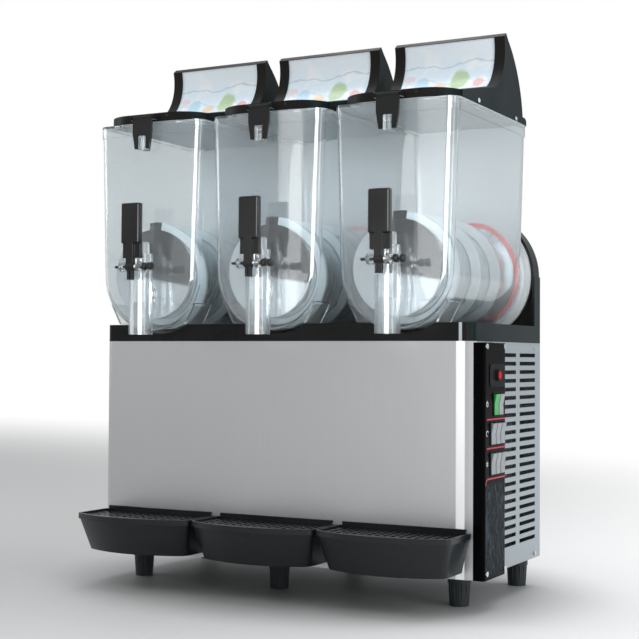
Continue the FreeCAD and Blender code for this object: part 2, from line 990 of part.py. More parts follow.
def make_rear_cover():
    low = axis_z - size.cover_drop
    start = size.body_depth
    half = bowl_pitch + size.cover_radius
    inner_radius = size.cover_radius - size.cover_wall
    half_in = half - size.cover_wall
    outer = [span("cover_box", (-half, half), (start, rear_y), (low, axis_z))]
    inner = [
        span(
            "cover_room",
            (-half_in, half_in),
            (start - 1, rear_y - size.cover_wall),
            (low + size.cover_wall, axis_z),
        )
    ]
    for number, x in enumerate(each_bowl()):
        front = (x, start, axis_z)
        outer.append(
            cylinder(f"cover_hump_{number}", size.cover_radius, size.cover_depth, front, "Y")
        )
        before = (x, start - 1, axis_z)
        deep = size.cover_depth - size.cover_wall + 1
        inner.append(cylinder(f"cover_hollow_{number}", inner_radius, deep, before, "Y"))
    vents = []
    for number, x in enumerate(each_bowl()):
        for row in range(5):
            z = axis_z - 24 + row * 12
            label = f"cover_vent_{number}_{row}"
            vents.append(span(label, (x - 26, x + 26), (rear_y - 5, rear_y + 1), (z, z + 5)))
    slots = fuse("cover_slots", vents)
    keep(cut("cover", fuse("cover_solid", outer), [fuse("cover_inside", inner), slots]), "rear_cover")


# Drive and evaporators


def make_drums():
    front = -size.drum_inset
    deep = bulkhead_front - front
    start = (NOTHING, front, axis_z)
    inside = (NOTHING, front + size.drum_wall, axis_z)
    shell = cylinder("drum_shell", drum_radius, deep, start, "Y")
    rounded_shell = rounded(
        "drum_round", shell, 3, lambda edge: near(edge.BoundBox.YMax, front.value)
    )
    hollow = cylinder("drum_hollow", drum_radius - size.drum_wall, deep, inside, "Y")
    tube = cylinder("drum_tube", size.shaft_tube - 0.5, deep, start, "Y")
    skin = cut("drum_skin", rounded_shell, [hollow])
    base = (NOTHING, bulkhead_front - size.drum_base, axis_z)
    plate = cylinder("drum_plate", gasket_radius - 1, size.drum_base, base, "Y")
    before = (NOTHING, front - 1, axis_z)
    bore = cylinder("drum_bore", size.shaft_radius + size.shaft_fit, deep + 2, before, "Y")
    drum = cut("drum", fuse("drum_solid", [skin, tube, plate]), [bore])
    drums = [moved(f"drum_{n}", drum, x) for n, x in enumerate(each_bowl())]
    keep(group("drum_group", drums), "evaporator_drums")

    start = (NOTHING, gasket_front, axis_z)
    ring = cylinder("gasket_ring", gasket_radius, size.gasket_length, start, "Y")
    ring = rounded(
        "gasket_round", ring, size.gasket_round, lambda edge: edge.BoundBox.XLength > 1
    )
    bore = cylinder(
        "gasket_bore",
        gasket_radius - size.gasket_width,
        size.gasket_length + 2,
        (NOTHING, start[1] - 1, axis_z),
        "Y",
    )
    gasket = cut("gasket", ring, [bore])
    gaskets = [moved(f"gasket_{n}", gasket, x) for n, x in enumerate(each_bowl())]
    keep(group("gasket_group", gaskets), "bowl_gaskets")


def make_gearmotors():
    start = size.body_depth + size.seam
    half = size.gearbox_width / 2
    rise = size.gearbox_height / 2
    motor_y = start + size.gearbox_depth
    gearbox = span("gearbox", (-half, half), (start, motor_y), (axis_z - rise, axis_z + rise))
    gearbox = rounded("gearbox_round", gearbox, 4, lambda edge: edge.BoundBox.YLength > 10)
    can = cylinder(
        "motor_can", size.motor_radius, size.motor_length, (NOTHING, motor_y, axis_z), "Y"
    )
    bore = cylinder(
        "gearbox_bore",
        size.shaft_radius + size.shaft_fit,
        size.shaft_grip + 2,
        (NOTHING, start - 1, axis_z),
        "Y",
    )
    motor = cut("gearmotor", fuse("gearmotor_solid", [gearbox, can]), [bore])
    motors = [moved(f"gearmotor_{n}", motor, x) for n, x in enumerate(each_bowl())]
    keep(group("gearmotor_group", motors), "gearmotors")


disc_back = -size.drum_inset - size.disc_gap
disc_front = disc_back - size.disc_thick
gasket_front = bulkhead_front - size.drum_base - size.gasket_length


def make_shaft():
    start = disc_front + 2
    end = size.body_depth + size.seam + size.shaft_grip - 1
    shaft = cylinder("shaft_bar", size.shaft_radius, end - start, (NOTHING, start, axis_z), "Y")
    keep_three(shaft, "drive_shaft")


def flight_shape():
    """The auger's flight, a square-edged ribbon wound round the drum as one closed solid."""
    inner = drum_radius.value + size.auger_gap.value
    outer = auger_radius.value
    half = size.auger_thick.value / 2
    start = disc_front.value + 3 + half
    end = (gasket_front - size.auger_end_gap).value - half
    pitch = (end - start) / size.auger_turns.value
    helix = Part.makeHelix(pitch, pitch * size.auger_turns.value, (inner + outer) / 2)
    corners = [(inner, -half), (outer, -half), (outer, half), (inner, half), (inner, -half)]
    section = Part.makePolygon([FreeCAD.Vector(x, 0, z) for x, z in corners])
    ribbon = Part.Wire(helix).makePipeShell([section], True, True)
    ribbon.rotate(FreeCAD.Vector(), FreeCAD.Vector(1, 0, 0), -90)
    ribbon.rotate(FreeCAD.Vector(), FreeCAD.Vector(0, 1, 0), -90)
    ribbon.translate(FreeCAD.Vector(0, start, axis_z.value))
    return ribbon


def make_auger():
    flight = feature("auger_flight", flight_shape())
    disc = cylinder(
        "auger_disc",
        drum_radius + size.disc_outset,
        size.disc_thick,
        (NOTHING, disc_front, axis_z),
        "Y",
    )
    disc = rounded(
        "disc_round", disc, size.disc_round, lambda edge: near(edge.BoundBox.YMax, disc_front.value)
    )
    half = size.lug_width / 2
    lug = span(
        "auger_lug",
        (-half, half),
        (disc_front + 2, disc_back + 2),
        (axis_z + drum_radius + size.auger_gap, axis_z + auger_radius - 1),
    )
    bore = cylinder(
        "disc_bore", size.shaft_radius + 0.05, size.disc_thick, (NOTHING, disc_front + 2, axis_z), "Y"
    )
    keep_three(cut("auger", fuse("auger_solid", [disc, lug, flight]), [bore]), "auger")


# Bowls


def tub(name, radius, start, end, top):
    """The U-shaped tub: a round bottom about the drum's axis and sides that flare upwards."""
    draft = size.bowl_draft
    side = radius * cosine(draft)
    low = axis_z - radius * sine(draft)
    flare = (top - low) * sine(draft) / cosine(draft)
    outline = [
        (side + flare, top),
        (-side - flare, top),
        (-side, low, radius, 1),
        (side, low),
    ]
    return prism(name, "XZ", outline, start, end)


def tub_end_edges(y, top):
    """Picks the edges round the tub's end wall at y, apart from its open top."""

    def wanted(edge):
        limits = edge.BoundBox
        at_end = near(limits.YMin, y.value) and near(limits.YMax, y.value)
        return at_end and not near(limits.ZMin, top.value)

    return wanted


def bowl_top_half():
    draft = size.bowl_draft
    side = size.bowl_radius * cosine(draft)
    low = axis_z - size.bowl_radius * sine(draft)
    return side + (bowl_top - low) * sine(draft) / cosine(draft)


def make_bowl():
    wall = size.bowl_wall
    outer = tub("tub_outer", size.bowl_radius, bowl_front, bowl_back, bowl_top)
    rear_round = size.bowl_rear_round
    edges = tub_end_edges(bowl_front, bowl_top)
    outer = rounded("tub_outer_round", outer, size.bowl_round, edges)
    edges = tub_end_edges(bowl_back, bowl_top)
    outer = rounded("tub_outer_rear", outer, rear_round, edges)
    inner_top = bowl_top + 2
    inner_front = bowl_front + wall
    inner = tub("tub_inner", size.bowl_radius - wall, inner_front, bowl_back - wall, inner_top)
    edges = tub_end_edges(inner_front, inner_top)
    inner = rounded("tub_inner_round", inner, size.bowl_round - wall, edges)
    edges = tub_end_edges(bowl_back - wall, inner_top)
    inner = rounded("tub_inner_rear", inner, rear_round - wall, edges)

    half = bowl_top_half() + size.rim_width
    rim_low = bowl_top - size.rim_height
    rim_front = bowl_front - size.rim_width
    rim_back = bowl_back + size.rim_shelf
    rim = span("rim", (-half, half), (rim_front, rim_back), (rim_low, bowl_top))
    rim = round_pair("rim_round", rim, half, rim_front, size.bowl_round + size.rim_width)
    rim = round_pair("rim_rear_round", rim, half, rim_back, size.rim_rear_round)
    lip_low = bowl_top - size.rim_lip_thick
    lip_room = span("lip_room", (-half, half), (rim_front, rim_back), (lip_low, bowl_top))
    lip = common("lip_blank", rim, lip_room)
    cover = size.lid_lip + wall
    lip_half = lid_half - cover
    lip_hole = span("lip_hole", (-lip_half, lip_half), (inner_front, bowl_back), (lip_low - 1, inner_top))
    lip_hole = round_pair("lip_hole_round", lip_hole, lip_half, inner_front, size.lid_round - cover)
    lip = cut("lip", lip, [lip_hole])
    half_in = bowl_top_half() - wall / 2
    back_in = bowl_back - wall / 2
    rim_hole = span(
        "rim_hole", (-half_in, half_in), (bowl_front + wall / 2, back_in), (rim_low - 1, inner_top)
    )
    rim_hole = round_pair(
        "rim_hole_round", rim_hole, half_in, bowl_front + wall / 2, size.bowl_round - wall / 2
    )
    rim_hole = round_pair("rim_hole_rear", rim_hole, half_in, back_in, rear_round - wall / 2)
    rim = cut("rim_ring", rim, [rim_hole])

    collar_end = bulkhead_front - size.seam
    collar_start = bowl_back - rear_round
    collar = cylinder(
        "collar",
        collar_radius,
        collar_end - collar_start,
        (NOTHING, collar_start, axis_z),
        "Y",
    )
    flange = cylinder(
        "flange",
        size.bowl_radius + size.flange_outset,
        size.flange_thick,
        (NOTHING, collar_end - size.flange_thick, axis_z),
        "Y",
    )
    flange_room = span(
        "flange_room",
        (-bowl_pitch / 2, bowl_pitch / 2),
        (bowl_front, bulkhead_front),
        (deck_top + size.seam, axis_z + arch_radius),
    )
    flange = common("flange_flat", flange, flange_room)
    mouth = cylinder(
        "rear_mouth",
        collar_bore,
        collar_end - collar_start + 2,
        (NOTHING, collar_start - 1, axis_z),
        "Y",
    )

    solid = fuse("bowl_solid", [outer, rim, collar, flange] + bowl_extras())
    tub_solid = cut("bowl_tub", solid, [inner, mouth] + bowl_cuts())
    keep_three(fuse("bowl", [tub_solid, lip]), "bowl")


def bowl_extras():
    """What is moulded onto the tub: feet, front rib, latch tongue, hinge lugs and tap housing."""
    high = deck_top + size.foot_ledge
    low = deck_top + size.seam
    wall = size.bowl_wall
    reach = size.bowl_radius - size.foot_reach_inset
    stance = size.bowl_radius - size.foot_stance_inset
    feet = []
    for number, way in enumerate((-1, 1)):
        outline = [
            ((reach - 10) * way, high),
            (reach * way, high),
            (stance * way, low),
            ((stance - wall) * way, low),
            ((reach - wall - 1) * way, high - wall),
            ((reach - 10) * way, high - wall),
        ]
        start = bowl_front + size.bowl_round
        feet.append(prism(f"bowl_foot_{number}", "XZ", outline, start, start + size.foot_length))
    rib_half = size.bowl_radius - size.bowl_round - 14
    rib = span(
        "front_rib",
        (-rib_half, rib_half),
        (bowl_front - 1.2, bowl_front + 1),
        (high - 3.4, high),
    )
    half = size.tongue_width / 2
    tongue_high = bowl_top - size.latch_plate_drop
    tongue = span(
        "latch_tongue",
        (-half - size.latch_offset, half - size.latch_offset),
        (latch_y - size.latch_thick / 2 - 1.5, bowl_front + 1),
        (tongue_high - size.tongue_height, tongue_high - 1),
    )
    tongue = rounded("latch_tongue_round", tongue, 2, lambda edge: edge.BoundBox.YLength > 5)
    lugs = []
    near_x = lid_half - size.knuckle_width
    width = size.knuckle_width - 3
    for number, low_x in enumerate((near_x - size.lid_gap - width, -near_x + size.lid_gap)):
        spot = (low_x, hinge_y, hinge_z)
        eye = cylinder(f"lug_eye_{number}", size.knuckle_radius, width, spot, "X")
        limits = (hinge_y - size.knuckle_radius, hinge_y + 1)
        web = span(f"lug_web_{number}", (low_x, low_x + width), limits, (bowl_top - 4, hinge_z))
        lugs += [eye, web]
    port_z = axis_z - size.port_drop
    block = span(
        "port_block",
        (-size.port_block_half, size.port_block_half),
        (tap_y, bowl_front + 1),
        (port_z - size.port_block_height / 2, port_z + size.port_block_height / 2),
    )
    spot = (NOTHING, tap_y, spout_bottom)
    tube = cylinder("tap_tube", size.tap_radius, size.tap_height, spot)
    ears = []
    for number, low_x in enumerate((size.ear_start, -size.ear_start - size.ear_thick)):
        spot = (low_x, pin_y, pin_z)
        eye = cylinder(f"ear_eye_{number}", size.ear_radius, size.ear_thick, spot, "X")
        limits = (pin_y, tap_y)
        heights = (pin_z - size.ear_radius, pin_z + size.ear_radius)
        arm = span(f"ear_arm_{number}", (low_x, low_x + size.ear_thick), limits, heights)
        ears += [eye, arm]
    return feet + [rib, tongue, block, tube] + lugs + ears


def bowl_cuts():
    bore = cylinder(
        "tap_bore", size.tap_bore, size.tap_height + 2, (NOTHING, tap_y, spout_bottom - 1)
    )
    port_z = axis_z - size.port_drop
    port = cylinder(
        "port", size.port_radius, bowl_front + 6 - tap_y, (NOTHING, tap_y, port_z), "Y"
    )
    half = size.tap_slot / 2
    slot = span(
        "tap_slot",
        (-half, half),
        (tap_y - size.tap_radius - 1, tap_y),
        (pin_z - size.tap_slot_drop, tap_top + 1),
    )
    pin = cylinder(
        "pin_bore",
        size.pin_radius + size.pin_fit,
        size.ear_start * 4,
        (-size.ear_start * 2, pin_y, pin_z),
        "X",
    )
    hinge = cylinder(
        "hinge_bore",
        size.hinge_peg + size.peg_fit,
        lid_half * 2,
        (-lid_half, hinge_y, hinge_z),
        "X",
    )
    return [bore, port, slot, pin, hinge]


# Lids: a plate over the bowl and a light box with a curved front


def make_lid():
    half = lid_half
    front = bowl_front - size.lid_lip
    back = hinge_y - size.knuckle_radius - 0.7
    plate = span("lid_plate", (-half, half), (front, back), (lid_under, lid_top))
    plate = round_pair("lid_plate_round", plate, half, front, size.lid_round)
    over = size.swoop_over
    axis_height = lid_top + size.swoop_rise
    sweep = size.swoop_rise - size.slope_rise
    radius = size.swoop_radius
    slope_y = bowl_front + size.slope_start
    slope_top = lid_top + size.slope_rise
    foot_y = swoop_y(radius, sweep)
    rim_y = swoop_y(radius, over)
    back_low = housing_back
    back_y = rim_y + size.back_top_run
    peak_y = rim_y + size.top_run
    peak = axis_height + over + size.top_rise
    back_top = peak - size.back_top_rise
    outline = [
        (slope_y, lid_under + 2),
        (back_low, lid_under + 2),
        (back_low, lid_top - 6, size.back_radius, 1),
        (back_y, back_top),
        (peak_y, peak),
        (rim_y, axis_height + over, radius, -1),
        (foot_y, slope_top),
        (slope_y, lid_top),
    ]
    shell = prism("lid_shell", "YZ", outline, -half, half)
    wall = size.housing_wall
    frame_in = size.frame_lip + size.light_panel_thick
    room_radius = radius + frame_in
    floor = lid_top - wall
    room_y = slope_y + (foot_y - slope_y) / 3
    room = [
        (room_y, floor),
        (back_low - wall, floor, size.back_radius - wall, 1),
        (back_y - wall, back_top - wall),
        (peak_y, peak - wall - 1),
        (swoop_y(room_radius, over - wall), axis_height + over - wall, room_radius, -1),
        (swoop_y(room_radius, sweep - 2), slope_top + 2),
        (foot_y + 2, slope_top - wall),
        (room_y, lid_top + size.slope_rise / 3 - wall),
    ]
    hollow = prism("lid_room", "YZ", room, wall - half, half - wall)

    seat_radius = size.swoop_radius + size.frame_lip
    seat_half = half - size.frame_width + 3
    seat = swoop_band("panel_seat", seat_radius, seat_radius + size.light_panel_thick, seat_half)
    window_half = half - size.frame_width
    window = swoop_band("panel_window", size.swoop_radius - 1, seat_radius + 0.1, window_half)

    knuckles = []
    for number, low_x in enumerate((half - size.knuckle_width, -half)):
        spot = (low_x, hinge_y, hinge_z)
        eye = cylinder(f"knuckle_{number}", size.knuckle_radius, size.knuckle_width, spot, "X")
        web = span(
            f"knuckle_web_{number}",
            (low_x, low_x + size.knuckle_width),
            (back - 3, hinge_y),
            (lid_under + 0.4, lid_top),
        )
        peg_x = low_x - 9 if number == 0 else low_x + size.knuckle_width - 1
        spot = (peg_x, hinge_y, hinge_z)
        peg = cylinder(f"lid_peg_{number}", size.hinge_peg, length(10), spot, "X")
        knuckles += [eye, web, peg]
    ears = []
    shift = -size.latch_offset
    start = size.latch_width / 2 + size.lid_gap
    for number, low_x in enumerate((shift + start, shift - start - size.latch_ear)):
        spot = (low_x, latch_y, latch_z)
        eye = cylinder(f"latch_eye_{number}", length(4), size.latch_ear, spot, "X")
        arm = span(
            f"latch_arm_{number}",
            (low_x, low_x + size.latch_ear),
            (latch_y, front + 1),
            (latch_z - 4, latch_z + 4),
        )
        ears += [eye, arm]
    reach = start + size.latch_ear
    bore = cylinder(
        "latch_bore",
        size.latch_peg + size.peg_fit,
        reach * 2,
        (shift - reach, latch_y, latch_z),
        "X",
    )
    solid = fuse("lid_solid", [plate, shell] + knuckles + ears)
    keep_three(cut("lid", solid, [hollow, seat, window, bore]), "lid")


def swoop_y(radius, rise):
    """How far back the light box's curved front is at a height above or below its axis."""
    return swoop_start + root(radius * radius - rise * rise)


def swoop_band(name, low_radius, high_radius, half, gap=NOTHING):
    """A band of the light box's curved front between two radii, less a gap on every side."""
    axis_height = lid_top + size.swoop_rise
    spot = (gap - half, swoop_start, axis_height)
    wide = (half - gap) * 2
    outer = cylinder(name + "_outer", high_radius - gap, wide, spot, "X")
    inner = cylinder(name + "_inner", low_radius + gap, wide, spot, "X")
    band = cut(name + "_ring", outer, [inner])
    sweep = size.swoop_rise - size.slope_rise
    border = size.frame_border + gap
    room = span(
        name + "_room",
        (-half, half),
        (swoop_start, swoop_start + high_radius + 1),
        (axis_height - sweep + border, axis_height + size.swoop_over - size.frame_top - gap),
    )
    return common(name, band, room)


def make_light_panel():
    seat_radius = size.swoop_radius + size.frame_lip
    half = lid_half - size.frame_width + 3
    gap = size.panel_gap
    band = swoop_band("light_sheet", seat_radius, seat_radius + size.light_panel_thick, half, gap)
    keep_three(band, "light_panel")


def make_latch():
    half = size.latch_width / 2
    foot = size.latch_foot_width / 2
    gap = size.latch_slot / 2
    high = latch_z + 4
    plate_low = bowl_top - size.latch_plate_drop
    low = bowl_top - size.latch_drop + 6
    outline = [
        (-half, high),
        (-half, plate_low + 4),
        (-foot, low),
        (-gap, low),
        (-gap, plate_low),
        (gap, plate_low),
        (gap, low),
        (foot, low),
        (half, plate_low + 4),
        (half, high),
    ]
    thick = size.latch_thick / 2
    plate = prism("latch_plate", "XZ", outline, latch_y - thick, latch_y + thick)
    pegs = []
    length_out = size.latch_ear
    for number, start in enumerate((half - 1, -half - length_out + 0.6)):
        spot = (start, latch_y, latch_z)
        pegs.append(cylinder(f"latch_peg_{number}", size.latch_peg, length_out + 0.4, spot, "X"))
    barrel = cylinder(
        "latch_barrel", length(3), size.latch_width, (-half, latch_y, latch_z), "X"
    )
    latch = fuse("latch", [plate, barrel] + pegs)
    keep_three(moved("latch_in_place", latch, -size.latch_offset), "lid_latch")


# Taps


def make_handle():
    front = pin_y - size.grip_front
    half = size.grip_width / 2
    grip_low = pin_z + size.grip_rise
    grip = span(
        "grip",
        (-half, half),
        (front, front + size.grip_thick),
        (grip_low, grip_low + size.grip_height),
    )
    grip = rounded("grip_round", grip, 2.5, lambda edge: edge.BoundBox.ZMin > grip_low.value - 1)
    skirts = []
    gap = size.skirt_gap / 2
    skirt_y = (front + size.grip_thick - size.skirt_thick, front + size.grip_thick)
    for number, limits in enumerate(((gap, half - 0.8), (0.8 - half, -gap))):
        heights = (grip_low - size.skirt_drop, grip_low + 3)
        skirts.append(span(f"skirt_{number}", limits, skirt_y, heights))
    stem_half = size.stem_width / 2
    stem = span(
        "handle_stem",
        (-stem_half, stem_half),
        (pin_y - size.stem_thick / 2, pin_y + size.stem_thick / 2),
        (pin_z, grip_low + 3),
    )
    spot = (-size.boss_half, pin_y, pin_z)
    boss = cylinder("handle_boss", size.boss_radius, size.boss_half * 2, spot, "X")
    fork_top = pin_z + size.piston_head_rise - size.lid_gap
    heights = (fork_top - size.fork_thick, fork_top)
    half = size.fork_half
    fork_y = (pin_y + size.fork_start, pin_y + size.fork_reach)
    neck_y = (pin_y, pin_y + size.fork_start + 1)
    neck = span("fork_neck", (-size.boss_half, size.boss_half), neck_y, heights)
    fork = span("fork", (-half, half), fork_y, heights)
    room = span(
        "fork_room",
        (-size.fork_gap, size.fork_gap),
        (tap_y - size.fork_gap - 3, fork_y[1] + 1),
        (heights[0] - 1, heights[1] + 1),
    )
    fork = cut("fork_tines", fork, [room])
    half = size.hook_width / 2
    deep = size.hook_thick / 2
    hook_low = pin_z - size.hook_drop
    hook = span("hook", (-half, half), (pin_y - deep, pin_y + deep), (hook_low, pin_z))
    half = size.hook_gap / 2
    hook_eye = span(
        "hook_eye",
        (-half, half),
        (pin_y - deep - 1, pin_y + deep + 1),
        (hook_low + size.hook_gap + 1, pin_z - size.boss_radius - 1),
    )
    hook = cut("hook_loop", hook, [hook_eye])
    solid = fuse("handle_solid", [grip, stem, boss, neck, fork, hook] + skirts)
    bore = cylinder(
        "handle_bore",
        size.pin_radius + size.pin_fit,
        size.boss_half * 4,
        (-size.boss_half * 2, pin_y, pin_z),
        "X",
    )
    lever = cut("handle", solid, [bore])
    spot = (-size.pin_left, pin_y, pin_z)
    bar = cylinder("pin_bar", size.pin_radius, size.pin_left + size.pin_right, spot, "X")
    outer_x = size.pin_right - size.pin_knob_width
    inner_x = outer_x - size.pin_knob_gap - size.pin_knob_width
    knobs = []
    for number, knob_x in enumerate((outer_x, inner_x)):
        spot = (knob_x, pin_y, pin_z)
        knob = cylinder(f"pin_knob_{number}", size.pin_knob, size.pin_knob_width, spot, "X")
        knob = rounded(f"pin_knob_round_{number}", knob, 2, lambda edge: edge.BoundBox.YLength > 5)
        knobs.append(knob)
    pin = fuse("tap_pin", [bar] + knobs)
    keep_three(group("handle_and_pin", [lever, pin]), "tap_handle")


def make_piston():
    radius = size.tap_bore - size.piston_fit
    seat = pin_z - size.piston_seat_drop
    plunger = cylinder("plunger", radius, size.piston_plunger, (NOTHING, tap_y, seat))
    head_low = pin_z + size.piston_head_rise
    stem = cylinder(
        "piston_stem", size.piston_stem_radius, head_low - seat, (NOTHING, tap_y, seat)
    )
    head = cylinder("piston_head", radius, size.piston_head, (NOTHING, tap_y, head_low))
    top = head_low + size.piston_head
    head = rounded(
        "piston_head_round", head, 3, lambda edge: near(edge.BoundBox.ZMin, top.value)
    )
    keep_three(fuse("piston", [plunger, stem, head]), "tap_piston")


def least_gap(path, wire, apart):
    """The least gap between stretches of a wire that lie further apart along it than given."""
    step = wire / 4
    points = path.discretize(Distance=step)
    skip = int(apart / step)
    pairs = ((points[a], points[b]) for a in range(len(points)) for b in range(a + skip, len(points)))
    return min(first.distanceToPoint(second) for first, second in pairs) - wire * 2


def spring_shape():
    """A torsion spring round the tap's pin: half-turn arcs between two straight legs."""
    wire = size.spring_wire.value
    radius = size.spring_radius.value
    pitch = size.spring_pitch.value
    turns = int(size.spring_turns.value)
    start_x = size.boss_half.value + size.spring_gap.value + wire
    pin = FreeCAD.Vector(0, pin_y.value, pin_z.value)

    def at(turn):
        angle = -2 * math.pi * turn
        arm = FreeCAD.Vector(start_x + pitch * turn, radius * math.cos(angle), radius * math.sin(angle))
        return pin + arm

    first, last = at(0), at(turns)
    skirt_low = (pin_z + size.grip_rise - size.skirt_drop).value
    leg_up = FreeCAD.Vector(first.x, first.y, skirt_low - size.spring_gap.value)
    leg_down = FreeCAD.Vector(last.x, last.y, pin_z.value - size.spring_leg.value)
    edges = [Part.LineSegment(leg_up, first).toShape()]
    for number in range(turns * 2):
        low = number / 2
        edges.append(Part.Arc(at(low), at(low + 0.25), at(low + 0.5)).toShape())
    edges.append(Part.LineSegment(last, leg_down).toShape())
    path = Part.Wire(edges)
    ring = Part.Circle(leg_up, FreeCAD.Vector(0, 0, 1), wire)
    coil = path.makePipeShell([Part.Wire(ring.toShape())], True, False)
    gap = least_gap(path, wire, math.pi * radius)
    print("tap spring least gap to itself", round(gap, 2))
    return coil


def make_spring():
    keep_three(feature("spring", spring_shape()), "tap_spring")


# Drip trays


def tray_outline(inset, front_inset, rear, corner):
    """The tray's plan: straight sides, rounded front corners and a bowed front."""
    half = tray_half - inset
    side = front_inset - size.tray_side - size.tray_gap
    bow = size.tray_bow
    radius = (half * half + bow * bow) / (bow * 2)
    centre_y = side + radius - bow
    turn_x = half - corner
    turn_y = centre_y - root((radius - corner) * (radius - corner) - turn_x * turn_x)
    share = radius / (radius - corner)
    meet_x = turn_x * share
    meet_y = centre_y + (turn_y - centre_y) * share
    return [
        (-meet_x, meet_y, radius, 1),
        (meet_x, meet_y, corner, 1),
        (half, turn_y),
        (half, -rear),
        (-half, -rear),
        (-half, turn_y, corner, 1),
    ]


def make_tray():
    top = tray_top
    bottom = top - size.tray_height
    rim_low = top - size.tray_rim
    gap = size.tray_gap
    lip = size.tray_rim_out
    wall = size.tray_wall
    corner = size.tray_corner
    rim = prism("tray_rim", "XY", tray_outline(NOTHING, NOTHING, gap, corner), rim_low, top)
    taper, front_taper = size.tray_taper, size.tray_front_taper
    foot_corner = size.tray_foot_corner
    low_outline = tray_outline(taper, front_taper, gap, foot_corner)
    high_outline = tray_outline(lip, lip, gap, corner - lip)
    tub_outer = loft("tray_outer", [low_outline, high_outline], [bottom, rim_low + 1])
    inner_corner = corner - lip - wall
    low_in = tray_outline(taper + wall, front_taper + wall, gap + wall, foot_corner - wall)
    high_in = tray_outline(lip + wall, lip + wall, gap + wall, inner_corner)
    tub_inner = loft("tray_inner", [low_in, high_in], [bottom + wall, top + 1])
    half = tongue_half
    tongue_high = top + size.tongue_rise
    stand = span("tongue_stand", (-half, half), (-gap - 1.4, -gap), (top - 2, tongue_high))
    tongue = span(
        "tongue_tab",
        (-half, half),
        (-gap - 1.4, size.tongue_in),
        (tongue_high - size.tongue_thick, tongue_high),
    )
    solid = fuse("tray_solid", [rim, tub_outer, stand, tongue])
    inset = lip + wall - 1
    seat_outline = tray_outline(inset, inset, gap + wall - 1, corner - inset)
    seat_low = top - size.grille_drop - size.grille_thick
    seat = prism("grille_seat", "XY", seat_outline, seat_low, top + 1)
    keep_three(cut("tray", solid, [tub_inner, seat]), "drip_tray")


def make_grille():
    inset = size.tray_rim_out + size.tray_wall - 1 + size.grille_gap
    rear = size.tray_gap + size.tray_wall - 1 + size.grille_gap
    low = tray_top - size.grille_drop - size.grille_thick
    high = tray_top - size.grille_drop
    outline = tray_outline(inset, inset, rear, size.tray_corner - inset)
    plate = prism("grille_plate", "XY", outline, low, high)
    slots = []
    columns = int(size.grille_columns.value)
    for column in range(columns):
        x = size.grille_pitch * (column - (columns - 1) / 2)
        limits = (x - size.grille_slot_width / 2, x + size.grille_slot_width / 2)
        for line in range(int(size.grille_rows.value)):
            near_y = -size.grille_row_pitch * (line + 1) - 6
            depths = (near_y, near_y + size.grille_slot_length)
            label = f"grille_slot_{column}_{line}"
            slots.append(span(label, limits, depths, (low - 1, high + 1)))
    keep_three(cut("grille", plate, slots), "drip_grille")


# Control box and its rocker switches


def rocker_spots():
    power = [("power_switch", size.power_y + 8, power_z)]
    power.append(("light_switch", size.power_y + 8 + size.rocker_pitch, power_z))
    mixers = [
        (f"mixer_switch_{side}", size.group_y + size.rocker_pitch * n, mixer_z)
        for n, side in enumerate(("left", "middle", "right"))
    ]
    coolers = [
        (f"cooling_switch_{side}", size.group_y + size.rocker_pitch * n, cooling_z)
        for n, side in enumerate(("left", "middle", "right"))
    ]
    return power + mixers + coolers


def bezel(name, spots):
    """A raised frame round a row of rockers."""
    half_y = size.rocker_width / 2 + size.bezel_border
    half_z = size.rocker_height / 2 + size.bezel_border
    first, last = spots[0], spots[-1]
    limits_y = (first[1] - half_y, last[1] + half_y)
    limits_z = (first[2] - half_z, first[2] + half_z)
    frame = span(name, (control_face - 1, rocker_face), limits_y, limits_z)
    return rounded(name + "_round", frame, 2, lambda edge: edge.BoundBox.XLength > 1)


def make_control_box():
    low = size.foot_height
    high = control_top
    outer = span(
        "control_outer", (half_width, control_face), (NOTHING, size.control_width), (low, high)
    )
    outer = rounded(
        "control_outer_round",
        outer,
        size.control_round,
        lambda edge: edge.BoundBox.ZLength > 100 and edge.BoundBox.XMin > half_width.value + 1,
    )
    wall = size.control_wall
    inner = span(
        "control_inner",
        (half_width - 1, control_face - wall),
        (wall, size.control_width - wall),
        (low + wall, high - wall),
    )
    spots = rocker_spots()
    frames = [
        bezel("power_bezel", spots[:2]),
        bezel("mixer_bezel", spots[2:5]),
        bezel("cooling_bezel", spots[5:]),
    ]
    half_y = size.lamp_plate_width / 2
    half_z = size.lamp_plate_height / 2
    plate = span(
        "lamp_plate",
        (control_face - 1, rocker_face),
        (size.lamp_y - half_y, size.lamp_y + half_y),
        (lamp_z - half_z, lamp_z + half_z),
    )
    plate = rounded("lamp_plate_round", plate, 6, lambda edge: edge.BoundBox.XLength > 1)
    holes = []
    half_y = size.rocker_width / 2 + size.rocker_gap
    half_z = size.rocker_height / 2 + size.rocker_gap + 0.6
    for name, y, z in spots:
        limits = (control_face - wall - 1, rocker_face + 1)
        holes.append(span(name + "_hole", limits, (y - half_y, y + half_y), (z - half_z, z + half_z)))
    lamp_hole = cylinder(
        "lamp_hole",
        size.lamp_radius + 0.1,
        size.control_depth,
        (control_face - wall - 1, size.lamp_y, lamp_z),
        "X",
    )
    solid = fuse("control_solid", [outer, plate] + frames)
    cover = cut("control_cover", solid, [inner, lamp_hole] + holes + control_holes)
    lamp = cylinder(
        "lamp",
        size.lamp_radius,
        size.lamp_proud + size.bezel_proud + wall + 4,
        (control_face - wall - 4, size.lamp_y, lamp_z),
        "X",
    )
    tip = rocker_face + size.lamp_proud
    lamp = rounded("lamp_round", lamp, 2, lambda edge: near(edge.BoundBox.XMin, tip.value))
    keep(group("control_and_lamp", [cover, lamp]), "control_box")


